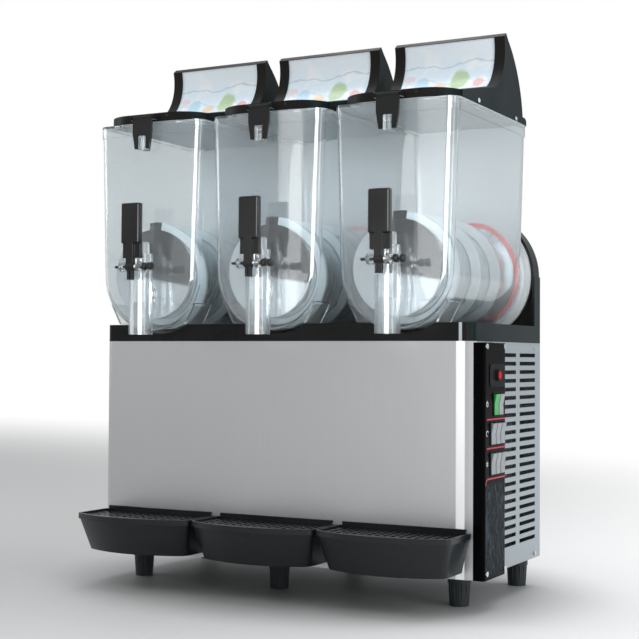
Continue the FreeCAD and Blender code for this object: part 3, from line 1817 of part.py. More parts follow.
def make_rockers():
    half = size.rocker_height / 2
    half_y = size.rocker_width / 2
    pivot_x = rocker_face - size.rocker_deep / 2
    tip = rocker_face + size.rocker_proud
    for name, y, z in rocker_spots():
        outline = [
            (tip, half + z),
            (tip - size.rocker_dish, z),
            (tip, z - half),
            (pivot_x + 1, z - half),
            (pivot_x - 2, z - half / 2),
            (pivot_x - 2, z + half / 2),
            (pivot_x + 1, z + half),
        ]
        body = prism(name + "_solid", "XZ", outline, y - half_y, y + half_y)
        hub_base = (pivot_x, y - half_y, z)
        hub = cylinder(name + "_hub", size.rocker_hub, size.rocker_width, hub_base, "Y")
        solid = fuse(name + "_rocker", [body, hub])
        tilt = FreeCAD.Vector(0, 1, 0)
        rocker = turned(name + "_tilted", solid, tilt, size.rocker_tilt.value, (pivot_x, y, z))
        keep(rocker, name)


# Refrigeration


def make_compressor():
    pan = size.foot_height + size.pan_sheet
    x, y = compressor_x, compressor_y
    plate_low = pan + size.grommet_height
    plate_high = plate_low + size.plate_thick
    half_x = size.plate_width / 2
    half_y = size.plate_depth / 2
    plate = span(
        "compressor_plate", (x - half_x, x + half_x), (y - half_y, y + half_y), (plate_low, plate_high)
    )
    grommets = []
    for number in range(4):
        offset_x = (half_x - 14) * (1 if number % 2 else -1)
        offset_y = (half_y - 14) * (1 if number // 2 else -1)
        spot = (x + offset_x, y + offset_y, pan)
        height = size.grommet_height
        grommets.append(cylinder(f"grommet_{number}", size.grommet_radius, height, spot))
    can = cylinder(
        "compressor_can", size.compressor_radius, size.compressor_height, (x, y, plate_high - 1)
    )
    can = rounded(
        "compressor_round", can, size.compressor_round, lambda edge: edge.BoundBox.XLength > 1
    )
    terminal = span(
        "terminal_box",
        (x - 24, x + 24),
        (y - size.compressor_radius - 14, y - size.compressor_radius + 12),
        (plate_high + size.compressor_height * 0.3, plate_high + size.compressor_height * 0.7),
    )
    keep(fuse("compressor_solid", [plate, can, terminal] + grommets), "compressor")


def condenser_rows():
    """The condenser's level tubes, as (y, z) places."""
    pan = size.foot_height + size.pan_sheet
    step = condenser_height / 6
    return [
        (size.condenser_y, pan + step * (row + 0.5), condenser_width) for row in range(6)
    ]


def make_condenser():
    pan = size.foot_height + size.pan_sheet
    x = condenser_x
    end = x + size.condenser_thick
    high = pan + condenser_height
    count = int(size.fin_count.value)
    pitch = (condenser_width - size.fin_thick) / (count - 1)
    pieces = []
    for number in range(count):
        y = size.condenser_y + pitch * number
        pieces.append(span(f"fin_{number}", (x, end), (y, y + size.fin_thick), (pan, high)))
    for number, (y, z, run) in enumerate(condenser_rows()):
        for column in (1, 3):
            spot = (x + size.condenser_thick * column / 4, y, z)
            label = f"condenser_tube_{number}_{column}"
            pieces.append(cylinder(label, size.condenser_tube, run, spot, "Y"))
    keep(fuse("condenser_solid", pieces), "condenser")


def fan_centre():
    y = size.condenser_y + condenser_width / 2
    z = size.foot_height + size.pan_sheet + condenser_height / 2
    return y, z


def make_fan():
    y, z = fan_centre()
    blade_x = condenser_x - size.fan_gap - size.fan_depth
    motor_x = blade_x - 6 - size.fan_motor_length
    can = cylinder(
        "fan_can", size.fan_motor_radius, size.fan_motor_length, (motor_x, y, z), "X"
    )
    can = rounded("fan_can_round", can, 5, lambda edge: edge.BoundBox.YLength > 1)
    half = size.bracket_width / 2
    pan = size.foot_height + size.pan_sheet
    post = span("fan_post", (motor_x + 6, motor_x + 10), (y - half, y + half), (pan, z))
    foot = span("fan_foot", (motor_x - 20, motor_x + 10), (y - half, y + half), (pan, pan + 4))
    spot = (motor_x + size.fan_motor_length - 2, y, z)
    stub = cylinder("fan_stub", size.fan_shaft, size.fan_depth + 6, spot, "X")
    keep(fuse("fan_motor_solid", [can, post, foot, stub]), "fan_motor")

    spot = (blade_x, y, z)
    hub = cylinder("fan_hub", size.fan_hub, size.fan_depth, spot, "X")
    blades = []
    for number in range(5):
        reach = size.fan_radius
        half = size.fan_chord / 2
        thick = size.fan_blade_thick / 2
        middle = blade_x + size.fan_depth / 2
        blade = span(
            f"blade_{number}",
            (middle - thick, middle + thick),
            (y - half, y + half),
            (z + size.fan_hub - 6, z + reach),
        )
        up = FreeCAD.Vector(0, 0, 1)
        pitched = turned(f"blade_pitched_{number}", blade, up, 17, (middle, y, z))
        along = FreeCAD.Vector(1, 0, 0)
        blades.append(turned(f"blade_turned_{number}", pitched, along, 72 * number, (middle, y, z)))
    bore = cylinder(
        "fan_bore",
        size.fan_shaft + 0.05,
        size.fan_depth + 2,
        (blade_x - 1, y, z),
        "X",
    )
    keep(cut("fan", fuse("fan_solid", [hub] + blades), [bore]), "fan_blade")


def bent_tube(points, radius, bend):
    """A round tube along straight runs joined by tangent arcs of one bend radius."""
    edges = []
    start = points[0]
    for before, corner, after in zip(points, points[1:], points[2:]):
        back = (before - corner).normalize()
        ahead = (after - corner).normalize()
        turn = math.pi - back.getAngle(ahead)
        trim = bend * math.tan(turn / 2)
        first = corner + back * trim
        last = corner + ahead * trim
        middle_way = (back + ahead).normalize()
        deep = bend / math.cos(turn / 2) - bend
        edges.append(Part.LineSegment(start, first).toShape())
        edges.append(Part.Arc(first, corner + middle_way * deep, last).toShape())
        start = last
    edges.append(Part.LineSegment(start, points[-1]).toShape())
    path = Part.Wire(edges)
    ring = Part.Circle(points[0], points[1] - points[0], radius)
    tube = path.makePipeShell([Part.Wire(ring.toShape())], True, False)
    share = tube.Volume / (math.pi * radius**2 * path.Length)
    print("pipe volume over section times length", round(share, 3))
    return tube


def make_pipes():
    pipe = size.pipe_radius.value
    bend = 14
    pan = (size.foot_height + size.pan_sheet).value
    can_top = pan + (size.grommet_height + size.plate_thick + size.compressor_height).value - 1
    can_x = compressor_x.value
    can_y = compressor_y.value
    coil_x = (condenser_x + size.condenser_thick / 4).value
    coil_top = pan + condenser_height.value
    coil_y = (size.condenser_y + condenser_width / 2).value
    riser_x = coil_x / 4
    return_x = can_x - 22
    high = deck_under.value - 30
    discharge = bent_tube(
        [
            FreeCAD.Vector(can_x, can_y, can_top),
            FreeCAD.Vector(can_x, can_y, high),
            FreeCAD.Vector(coil_x, can_y, high),
            FreeCAD.Vector(coil_x, can_y, coil_top),
        ],
        pipe,
        bend,
    )
    back_y = bulkhead_front.value - 20
    liquid = bent_tube(
        [
            FreeCAD.Vector(coil_x, coil_y + 40, coil_top),
            FreeCAD.Vector(coil_x, coil_y + 40, high - 26),
            FreeCAD.Vector(coil_x, back_y, high - 26),
            FreeCAD.Vector(riser_x, back_y, high - 26),
            FreeCAD.Vector(riser_x, back_y, deck_under.value + size.deck_skin.value),
        ],
        pipe,
        bend,
    )
    suction = bent_tube(
        [
            FreeCAD.Vector(return_x, can_y + 14, can_top),
            FreeCAD.Vector(return_x, can_y + 14, high - 50),
            FreeCAD.Vector(return_x, back_y, high - 50),
            FreeCAD.Vector(return_x, back_y, deck_under.value + size.deck_skin.value),
        ],
        pipe,
        bend,
    )
    drier = Part.makeCylinder(
        size.drier_radius.value,
        size.drier_length.value,
        FreeCAD.Vector(riser_x + 40, back_y, high - 26),
        FreeCAD.Vector(1, 0, 0),
    )
    drier = drier.makeFillet(5, drier.Edges[:1] + drier.Edges[2:])
    liquid = liquid.fuse(drier)
    keep(feature("pipe_group", Part.makeCompound([discharge, liquid, suction])), "refrigerant_pipes")


make_base_pan()
make_front_panel()
make_side_panel("right_side_panel", half_width - size.sheet, half_width, side_holes)
make_side_panel("left_side_panel", -half_width, size.sheet - half_width, left_holes)
make_rear_panel()
make_gland()
make_deck()
make_rear_cover()
make_feet()
make_drums()
make_gearmotors()
make_shaft()
make_auger()
make_bowl()
make_lid()
make_light_panel()
make_latch()
make_handle()
make_piston()
make_spring()
make_tray()
make_grille()
make_control_box()
make_rockers()
make_compressor()
make_condenser()
make_fan()
make_pipes()
keep(group("screw_group", control_screws + side_screws + left_screws + rear_screws), "screws")

doc.recompute()
failed = [obj.Name for obj in doc.Objects if {"Invalid", "Error"} & set(obj.State)]
if failed:
    raise SystemExit(f"objects that failed: {failed}")
for node in NODES:
    shape = node.Shape
    if shape.isNull() or not shape.isValid() or not shape.Solids:
        raise SystemExit(f"bad shape: {node.Label}")
for node in NODES:
    node.Shape.exportStep(f"parts/{node.Label}.step")
print("nodes", len(NODES))
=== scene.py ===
import math

import bmesh
import bpy
from mathutils import Matrix, Vector


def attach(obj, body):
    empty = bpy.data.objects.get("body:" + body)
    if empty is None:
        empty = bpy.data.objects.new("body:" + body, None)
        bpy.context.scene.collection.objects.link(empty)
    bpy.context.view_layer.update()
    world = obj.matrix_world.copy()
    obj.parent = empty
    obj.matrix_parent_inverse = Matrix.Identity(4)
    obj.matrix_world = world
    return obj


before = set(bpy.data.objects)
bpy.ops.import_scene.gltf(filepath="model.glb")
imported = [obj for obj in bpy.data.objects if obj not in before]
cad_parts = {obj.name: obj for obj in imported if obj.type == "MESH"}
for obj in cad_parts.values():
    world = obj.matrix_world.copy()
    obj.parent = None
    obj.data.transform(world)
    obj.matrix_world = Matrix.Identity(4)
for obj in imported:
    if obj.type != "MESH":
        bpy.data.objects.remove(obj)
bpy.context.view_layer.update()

# Lengths are in metres, in the row's frame, unless a comment or a name ending says millimetres.
# Places on the machine are in the design frame: millimetres from the middle of the casing's
# front, on the floor.
ORIGIN = Vector((-0.0096, -0.1293, 0))
SIDES = ("left", "middle", "right")
PITCH_MM = 200
AXIS_Z_MM = 459
LID_FRONT_MM = -40
LID_HALF_MM = 87
LID_SIDE_SCREWS_MM = ((54.4, 691.2), (202.6, 689.6))
LID_PLUG_MM = (35, 691.5)
DISC_BACK_MM = -17
COLLAR_START_MM = 228
CONTROL_FACE_MM = 317.5
INDICATOR_MM = (45, 314.5)
LENS_RADIUS_MM = 5.2


def at(x, y, z):
    """A place of the design frame in the row's frame."""
    return ORIGIN + Vector((x, y, z)) / 1000


def row_x(x):
    return ORIGIN.x + x / 1000


def row_y(y):
    return ORIGIN.y + y / 1000


def middle_of(side):
    """The X of a bowl's middle plane, in millimetres."""
    return (SIDES.index(side) - 1) * PITCH_MM


# Camera: the photograph's place, direction and lens

CAMERA_AT = (0.96186, -1.81453, 0.33535)
CAMERA_AZIMUTH = math.radians(28.153)
CAMERA_TILT = math.radians(1.649)
CAMERA_ROLL = math.radians(0.339)
LENS_MM = 76.49
SENSOR_MM = 36
NEAR_CLIP, FAR_CLIP = 0.05, 60


def make_camera():
    data = bpy.data.cameras.new("photo_camera")
    camera = bpy.data.objects.new("photo_camera", data)
    bpy.context.scene.collection.objects.link(camera)
    turn, tilt, roll = CAMERA_AZIMUTH, CAMERA_TILT, CAMERA_ROLL
    ahead = Vector(
        (-math.sin(turn) * math.cos(tilt), math.cos(turn) * math.cos(tilt), math.sin(tilt))
    )
    right = Vector((math.cos(turn), math.sin(turn), 0))
    up = right.cross(ahead)
    across = right * math.cos(roll) + up * math.sin(roll)
    upward = up * math.cos(roll) - right * math.sin(roll)
    columns = Matrix((across, upward, -ahead)).transposed().to_4x4()
    camera.matrix_world = Matrix.Translation(CAMERA_AT) @ columns
    data.lens = LENS_MM
    data.sensor_width = SENSOR_MM
    data.clip_start = NEAR_CLIP
    data.clip_end = FAR_CLIP
    bpy.context.scene.camera = camera


make_camera()
bpy.context.scene.view_settings.view_transform = "Standard"


# Nodes

STATION = PITCH_MM / 1000
ROW_HALF = 1.5 * STATION
BEND_FADE = 0.002
BEND_SHARE = 0.46
BEND_BACK_SHARE = 0.9


def is_socket(value):
    return isinstance(value, bpy.types.NodeSocket)


def colour(value):
    return (*value, 1.0) if len(value) == 3 else value


class Nodes:
    """The nodes of a material or world, with short ways to add the ones used here."""

    def __init__(self, owner, output="OutputMaterial"):
        owner.use_nodes = True
        self.owner = owner
        self.tree = owner.node_tree
        self.tree.nodes.clear()
        self.output = self.add(output)
        self.coordinates = None

    def add(self, kind, **settings):
        node = self.tree.nodes.new("ShaderNode" + kind)
        for key, value in settings.items():
            setattr(node, key, value)
        return node

    def feed(self, socket, value):
        if is_socket(value):
            self.tree.links.new(value, socket)
        else:
            socket.default_value = value

    def split(self, vector):
        node = self.add("SeparateXYZ")
        self.feed(node.inputs[0], vector)
        return node.outputs["X"], node.outputs["Y"], node.outputs["Z"]

    def place(self):
        if self.coordinates is None:
            self.coordinates = self.add("TexCoord").outputs["Object"]
        return self.coordinates

    def axes(self):
        return self.split(self.place())

    def facing(self):
        """How much the surface faces along each axis of the object, from -1 to 1."""
        return self.split(self.add("TexCoord").outputs["Normal"])

    def across_bowl(self):
        """The place across a bowl's own stretch of the row, from the stretch's left end."""
        x, _, _ = self.axes()
        along = self.calc("ADD", x, ROW_HALF - ORIGIN.x)
        return self.product(self.calc("FRACT", self.product(along, 1 / STATION)), STATION)

    def calc(self, operation, *values):
        node = self.add("Math", operation=operation)
        for socket, value in zip(node.inputs, values):
            self.feed(socket, value)
        return node.outputs[0]

    def product(self, first, *others):
        for other in others:
            first = self.calc("MULTIPLY", first, other)
        return first

    def squares(self, first, second):
        return self.calc("ADD", self.product(first, first), self.product(second, second))

    def between(self, value, low, high, out_low=0.0, out_high=1.0):
        """A smooth step from out_low to out_high as the value goes from low to high."""
        node = self.add("MapRange", interpolation_type="SMOOTHSTEP")
        names = ("Value", "From Min", "From Max", "To Min", "To Max")
        for name, amount in zip(names, (value, low, high, out_low, out_high)):
            self.feed(node.inputs[name], amount)
        return node.outputs[0]

    def noise(self, scale, detail, roughness=0.5, stretch=None, distortion=0.0, vector=None):
        vector = vector or self.place()
        if stretch:
            mapping = self.add("Mapping")
            self.feed(mapping.inputs["Vector"], vector)
            mapping.inputs["Scale"].default_value = stretch
            vector = mapping.outputs[0]
        node = self.add("TexNoise")
        self.feed(node.inputs["Vector"], vector)
        node.inputs["Scale"].default_value = scale
        node.inputs["Detail"].default_value = detail
        node.inputs["Roughness"].default_value = roughness
        node.inputs["Distortion"].default_value = distortion
        return node.outputs[0]

    def blend(self, share, first, second, mode="MIX"):
        node = self.add("Mix", data_type="RGBA", blend_type=mode)
        self.feed(node.inputs[0], share)
        for socket, value in zip((node.inputs[6], node.inputs[7]), (first, second)):
            self.feed(socket, value if is_socket(value) else colour(value))
        return node.outputs[2]

    def scaled(self, tone, factor):
        """The tone times a factor, which is a number or a socket."""
        if is_socket(factor):
            node = self.add("CombineColor")
            for socket in node.inputs[:3]:
                self.feed(socket, factor)
            factor = node.outputs[0]
        else:
            factor = (factor,) * 3
        return self.blend(1.0, tone, factor, "MULTIPLY")

    def round_edges(self, radius):
        node = self.add("Bevel", samples=4)
        node.inputs["Radius"].default_value = radius
        return node.outputs[0]

    def bump(self, height, distance, strength, normal=None):
        node = self.add("Bump")
        node.inputs["Strength"].default_value = strength
        node.inputs["Distance"].default_value = distance
        self.feed(node.inputs["Height"], height)
        if normal is not None:
            self.feed(node.inputs["Normal"], normal)
        return node.outputs[0]

    def bent_right(self, normal, start, end):
        """The normal, half to the right between two places along X, and to the front after."""
        x, _, _ = self.axes()
        _, facing, _ = self.facing()
        past = self.between(x, end - BEND_FADE, end)
        aside = self.product(
            self.between(x, start, start + BEND_FADE, 0.0, BEND_SHARE),
            self.between(facing, *FACES_FRONT),
            self.calc("SUBTRACT", 1.0, past),
        )
        ahead = self.product(past, self.between(facing, -0.3, 0.0, BEND_BACK_SHARE, 0.0))
        for share, way in ((aside, (1.0, 0.0, 0.0)), (ahead, (0.0, -1.0, 0.0))):
            node = self.add("Mix", data_type="VECTOR")
            for number, value in ((0, share), (4, normal), (5, way)):
                self.feed(node.inputs[number], value)
            normal = node.outputs[1]
        unit = self.add("VectorMath", operation="NORMALIZE")
        self.feed(unit.inputs[0], normal)
        return unit.outputs[0]

    def shader(self, **values):
        node = self.add("BsdfPrincipled")
        for key, value in values.items():
            socket = node.inputs[key.replace("_", " ")]
            if socket.type == "RGBA" and not is_socket(value):
                value = colour(value)
            self.feed(socket, value)
        return node.outputs[0]

    def mix(self, share, first, second):
        node = self.add("MixShader")
        for socket, value in zip(node.inputs, (share, first, second)):
            self.feed(socket, value)
        return node.outputs[0]

    def seen_by(self, *rays):
        """One where a ray of any of these kinds arrives, as on a backdrop."""
        path = self.add("LightPath")
        seen = path.outputs[rays[0]]
        for ray in rays[1:]:
            seen = self.calc("MAXIMUM", seen, path.outputs[ray])
        return seen

    def finish(self, shader):
        self.feed(self.output.inputs["Surface"], shader)
        return self.owner


# Materials

# Most of a noise's values lie between these two, and its patches of high values between the next.
MOST = (0.3, 0.7)
UPPER = (0.35, 0.7)
# Steps from one to zero as a face turns away from the front, and from straight down
FACES_FRONT = (-0.9, -0.6, 1.0, 0.0)
FACES_DOWN = (-0.98, -0.9, 1.0, 0.0)
# Steps from zero to one as a face turns to either side, and to the right alone
FACES_ASIDE = (0.25, 0.9)
FACES_RIGHT = (0.8, 0.95)

MOULDED_EDGE = 0.0007
MOULDED_GRAIN = 0.00004
SHEET_EDGE = 0.0004
SMALL_EDGE = 0.0005
ROCKER_EDGE = 0.0006
FACING_EDGE = 0.0008
ACRYLIC_IOR = 1.49
FROST = (0.72, 0.76, 0.775)
# Colour of a painted highlight on a moulded front, as on a corner that catches the light
PAINTED_HIGHLIGHT_TONE = (0.60, 0.64, 0.66)
PAINTED_HIGHLIGHT_FADE = 0.001
# The painted highlight ends here, before the bulkhead.
PAINTED_HIGHLIGHT_BACK = row_y(29.3)

MATERIALS = {}


def new_material(name):
    """The nodes of a new material, which MATERIALS keeps under this name."""
    MATERIALS[name] = bpy.data.materials.new(name)
    return Nodes(MATERIALS[name])


def moulded(name, front, side, rough=0.42, level=0.35, under=None, gleam=None):
    """Moulded plastic with a fine grain, and a painted cool sheen where it faces sideways.

    Under is a colour for what faces down. Gleam is a pair of places along X between which the
    front is painted pale, a painted highlight as on a corner that catches the light.
    """
    tree = new_material(name)
    cloud = tree.noise(9, 4)
    fine = tree.noise(900, 2)
    facing_x, facing_y, facing_z = tree.facing()
    # Painted reflection: faces turned sideways take the side colour, a cool sheen of the
    # surroundings
    painted_side_sheen = tree.between(tree.calc("ABSOLUTE", facing_x), *FACES_ASIDE)
    base = tree.blend(painted_side_sheen, front, side)
    base = tree.blend(tree.between(cloud, *UPPER), base, tree.scaled(base, 1.25))
    if under:
        base = tree.blend(tree.between(facing_z, *FACES_DOWN), base, under)
    if gleam:
        # Painted highlight: a pale strip on the front between the two places along X
        x, y, _ = tree.axes()
        start, end = gleam
        painted_highlight = tree.product(
            tree.between(facing_y, *FACES_FRONT),
            tree.calc("LESS_THAN", y, PAINTED_HIGHLIGHT_BACK),
            tree.between(x, start, start + PAINTED_HIGHLIGHT_FADE),
            tree.between(x, end - PAINTED_HIGHLIGHT_FADE, end, 1.0, 0.0),
        )
        base = tree.blend(painted_highlight, base, PAINTED_HIGHLIGHT_TONE)
    shader = tree.shader(
        Base_Color=base,
        Roughness=tree.between(cloud, *MOST, rough - 0.06, rough + 0.08),
        Normal=tree.bump(fine, MOULDED_GRAIN, 0.6, tree.round_edges(MOULDED_EDGE)),
        Specular_IOR_Level=level,
    )
    return tree.finish(shader)


def brushed(name, base, rough, stretch, metallic=1.0, depth=0.00002, shade=0.12, bend=None):
    """Brushed sheet: long fine scratches along one axis, and soft handling marks.

    Bend is a pair of places along X between which the front faces half to the right.
    """
    tree = new_material(name)
    scratch = tree.noise(1.0, 6, 0.7, stretch)
    cloud = tree.noise(5, 3)
    darker = tuple(value * (1 - shade) for value in base)
    tone = tree.blend(tree.between(scratch, *MOST), darker, base)
    tone = tree.blend(tree.between(cloud, 0.35, 0.75, 0, 0.35), tone, darker)
    normal = tree.bump(scratch, depth, 0.5, tree.round_edges(SHEET_EDGE))
    if bend:
        normal = tree.bent_right(normal, *bend)
    shader = tree.shader(
        Base_Color=tone,
        Metallic=metallic,
        Roughness=tree.between(scratch, *MOST, rough - 0.05, rough + 0.06),
        Normal=normal,
    )
    return tree.finish(shader)


def clear(name, tint, edge_tint, milk, rough=0.03, collar_milk=None):
    """Clear moulded plastic: faintly hazy, and darker where the eye grazes its surface.

    Milk is the share of pale haze, and collar_milk its share from the bowl's collar back.
    """
    tree = new_material(name)
    wave = tree.noise(14, 2)
    haze = tree.noise(40, 3)
    normal = tree.bump(wave, 0.0004, 0.2)
    grazing = tree.add("LayerWeight")
    grazing.inputs["Blend"].default_value = 0.5
    edge = tree.between(grazing.outputs["Facing"], 0.70, 0.97)
    glass = tree.shader(
        Base_Color=tree.blend(edge, tint, edge_tint),
        Transmission_Weight=1.0,
        IOR=ACRYLIC_IOR,
        Roughness=tree.between(haze, 0.4, 0.8, rough, rough + 0.05),
        Normal=normal,
    )
    frost = tree.shader(Base_Color=FROST, Roughness=0.25, Normal=normal)
    if collar_milk:
        _, y, _ = tree.axes()
        start = row_y(COLLAR_START_MM)
        milk = tree.between(y, start, start + 0.002, milk, collar_milk)
    through = tree.add("BsdfTransparent")
    through.inputs[0].default_value = colour(tuple(value**0.5 for value in tint))
    shadow = tree.product(tree.seen_by("Is Shadow Ray"), 0.9)
    return tree.finish(tree.mix(shadow, tree.mix(milk, glass, frost), through.outputs[0]))


# The disc's painted reflection is a grey part that starts a little left of its axis, above a line
# that falls to the right, and grows paler near the disc's right rim.
REFLECTION_SLANT = 0.18
REFLECTION_ABOVE = (AXIS_Z_MM / 1000 + 0.008, AXIS_Z_MM / 1000 + 0.014)
REFLECTION_FROM = (0.074, 0.084)
REFLECTION_FADE = (0.13, 0.165, 0, 0.6)


def auger_material():
    """A pale polished front disc with a painted grey reflection, and pale satin flights behind."""
    tree = new_material("auger_grey")
    cloud = tree.noise(12, 3)
    fine = tree.noise(500, 2)
    flight = tree.blend(tree.between(cloud, *UPPER), (0.50, 0.56, 0.585), (0.58, 0.64, 0.665))
    plastic = tree.shader(
        Base_Color=flight,
        Roughness=0.3,
        Normal=tree.bump(fine, 0.00003, 0.4, tree.round_edges(FACING_EDGE)),
    )
    _, y, z = tree.axes()
    across = tree.across_bowl()
    # Painted reflection: a grey part on the disc, which turns with the auger
    slanted = tree.calc("ADD", z, tree.product(across, REFLECTION_SLANT))
    painted_reflection = tree.product(tree.between(slanted, *REFLECTION_ABOVE), tree.between(across, *REFLECTION_FROM))
    fade = tree.between(across, *REFLECTION_FADE)
    grey = tree.blend(fade, (0.05, 0.05, 0.053), (0.12, 0.123, 0.127))
    polished = tree.shader(
        Base_Color=tree.blend(painted_reflection, (0.50, 0.53, 0.55), grey),
        Metallic=0.55,
        Roughness=tree.between(cloud, *MOST, 0.10, 0.15),
        Normal=tree.bump(fine, 0.000004, 0.3, tree.round_edges(FACING_EDGE)),
    )
    in_front = tree.calc("LESS_THAN", y, row_y(DISC_BACK_MM))
    return tree.finish(tree.mix(in_front, plastic, polished))


PICTURE_FOOT = 0.72
PICTURE_HEIGHT = 0.085
# Each wavy line: its height, where it fades, its share and its colour
PICTURE_LINES = (
    (0.022, (0.0006, 0.0022), 0.45, (0.42, 0.50, 0.52)),
    (-0.004, (0.0005, 0.002), 0.3, (0.45, 0.52, 0.58)),
)
# Each soft spot: its place across and up, its half width and height, its share and its colour
PICTURE_SPOTS = (
    ((0.062, 0.018), (0.013, 0.015), 0.75, (0.45, 0.68, 0.82)),
    ((0.121, 0.022), (0.016, 0.019), 0.8, (0.42, 0.58, 0.28)),
    ((0.092, 0.012), (0.010, 0.009), 0.7, (0.86, 0.55, 0.24)),
    ((0.152, 0.016), (0.010, 0.008), 0.75, (0.78, 0.34, 0.32)),
    ((0.040, 0.030), (0.011, 0.007), 0.5, (0.78, 0.50, 0.52)),
)


def picture_material():
    """A generic wintry print in soft colours: drifts, soft spots and fine wavy lines."""
    tree = new_material("light_picture")
    _, _, z = tree.axes()
    across = tree.across_bowl()
    height = tree.calc("SUBTRACT", z, PICTURE_FOOT)
    sheet = tree.add("CombineXYZ")
    tree.feed(sheet.inputs[0], across)
    tree.feed(sheet.inputs[1], height)

    def cloud(scale, detail, offset):
        moved = tree.add("VectorMath", operation="ADD")
        tree.feed(moved.inputs[0], sheet.outputs[0])
        moved.inputs[1].default_value = (offset, offset * 0.7, offset * 0.3)
        return tree.noise(scale, detail, vector=moved.outputs[0])

    def from_centre(value, centre, half):
        return tree.calc("DIVIDE", tree.calc("SUBTRACT", value, centre), half)

    sky = tree.between(height, 0.0, PICTURE_HEIGHT)
    base = tree.blend(sky, (0.66, 0.80, 0.90), (0.84, 0.91, 0.96))
    drift = tree.between(cloud(26, 4, 2.0), 0.45, 0.62, 0, 0.7)
    base = tree.blend(drift, base, (0.92, 0.95, 0.97))
    ridge = tree.calc("ADD", height, tree.product(cloud(18, 3, 5.0), -0.05))
    for level, fade, share, ink in PICTURE_LINES:
        away = tree.calc("ABSOLUTE", tree.calc("SUBTRACT", ridge, level))
        base = tree.blend(tree.between(away, *fade, share, 0), base, ink)
    for (x, up), (half_wide, half_high), share, ink in PICTURE_SPOTS:
        away = tree.squares(from_centre(across, x, half_wide), from_centre(height, up, half_high))
        wobble = tree.calc("ADD", away, tree.product(cloud(60, 3, x * 9), 0.9))
        base = tree.blend(tree.product(tree.between(wobble, 0.85, 1.5, 1.0, 0.0), share), base, ink)
    shader = tree.shader(
        Base_Color=base,
        Roughness=tree.between(cloud(300, 2, 1.0), *MOST, 0.2, 0.28),
        Specular_IOR_Level=0.4,
        Emission_Color=base,
        Emission_Strength=0.10,
        Normal=tree.bump(cloud(220, 2, 3.0), 0.00003, 0.4),
    )
    return tree.finish(shader)


# The patterned field's soft ends: below, above and at its front
FIELD_FOOT = (0.047, 0.052)
FIELD_TOP = (0.165, 0.172)
FIELD_FRONT = (row_y(3), row_y(6))
BOX_BLACK = (0.002, 0.002, 0.0025)
VEINS = ((0.002, 0.004, 0.006), (0.032, 0.050, 0.064))
PLATE_GREY = (0.014, 0.015, 0.017)
LENS_RED = (0.70, 0.006, 0.01)


def control_material():
    """Gloss black facing, with a darkly patterned field low on its side and a red lamp."""
    tree = new_material("control_black")
    x, y, z = tree.axes()
    facing_x, _, _ = tree.facing()
    field = tree.product(
        tree.between(facing_x, *FACES_RIGHT),
        tree.between(z, *FIELD_TOP, 1.0, 0.0),
        tree.between(y, *FIELD_FRONT),
        tree.between(z, *FIELD_FOOT),
    )
    streak = tree.noise(1.0, 5, 0.62, (110, 110, 42), 2.2)
    base = tree.blend(field, BOX_BLACK, tree.blend(tree.between(streak, 0.44, 0.66), *VEINS))
    plate = tree.calc("GREATER_THAN", x, row_x(CONTROL_FACE_MM + 0.3))
    base = tree.blend(plate, base, PLATE_GREY)
    indicator_y, indicator_z = INDICATOR_MM
    away = tree.squares(
        tree.calc("SUBTRACT", y, row_y(indicator_y)),
        tree.calc("SUBTRACT", z, indicator_z / 1000),
    )
    lens = tree.product(
        tree.calc("LESS_THAN", tree.calc("SQRT", away), LENS_RADIUS_MM / 1000),
        tree.calc("GREATER_THAN", x, row_x(CONTROL_FACE_MM - 1.9)),
    )
    shader = tree.shader(
        Base_Color=tree.blend(lens, base, LENS_RED),
        Roughness=tree.between(tree.noise(20, 4), *UPPER, 0.10, 0.22),
        Normal=tree.bump(tree.noise(300, 2), 0.00001, 0.3, tree.round_edges(FACING_EDGE)),
        Specular_IOR_Level=0.02,
    )
    return tree.finish(shader)


def rocker_material(name, base, glow):
    """A rocker's smooth plastic, lit a little from inside."""
    tree = new_material(name)
    cloud = tree.noise(60, 3)
    darker = tuple(value * 0.85 for value in base)
    tone = tree.blend(tree.between(cloud, *MOST), darker, base)
    shader = tree.shader(
        Base_Color=tone,
        Roughness=tree.between(cloud, *MOST, 0.18, 0.3),
        Emission_Color=tone,
        Emission_Strength=glow,
        Normal=tree.bump(tree.noise(700, 2), 0.00002, 0.4, tree.round_edges(ROCKER_EDGE)),
    )
    return tree.finish(shader)


def plain(name, base, rough, metallic=0.0):
    """A small or inner piece's finish: one colour with a mottled tone and a fine grain."""
    tree = new_material(name)
    cloud = tree.noise(15, 4)
    darker = tuple(value * 0.82 for value in base)
    shader = tree.shader(
        Base_Color=tree.blend(tree.between(cloud, *MOST), darker, base),
        Metallic=metallic,
        Roughness=tree.between(cloud, *MOST, rough - 0.05, rough + 0.08),
        Normal=tree.bump(tree.noise(400, 2), 0.00003, 0.5, tree.round_edges(SMALL_EDGE)),
    )
    return tree.finish(shader)


BLACK = (0.0125, 0.0125, 0.0125)
# The side colour of black moulded parts, a painted cool reflection
SIDE_SHEEN_BLACK = (0.006, 0.014, 0.016)
STEEL_CORNER = (row_x(276.1), row_x(290.6))
# Where the deck's front gets its painted highlight, a pale strip near its right corner
DECK_PAINTED_HIGHLIGHT = (row_x(280.1), row_x(285.6))

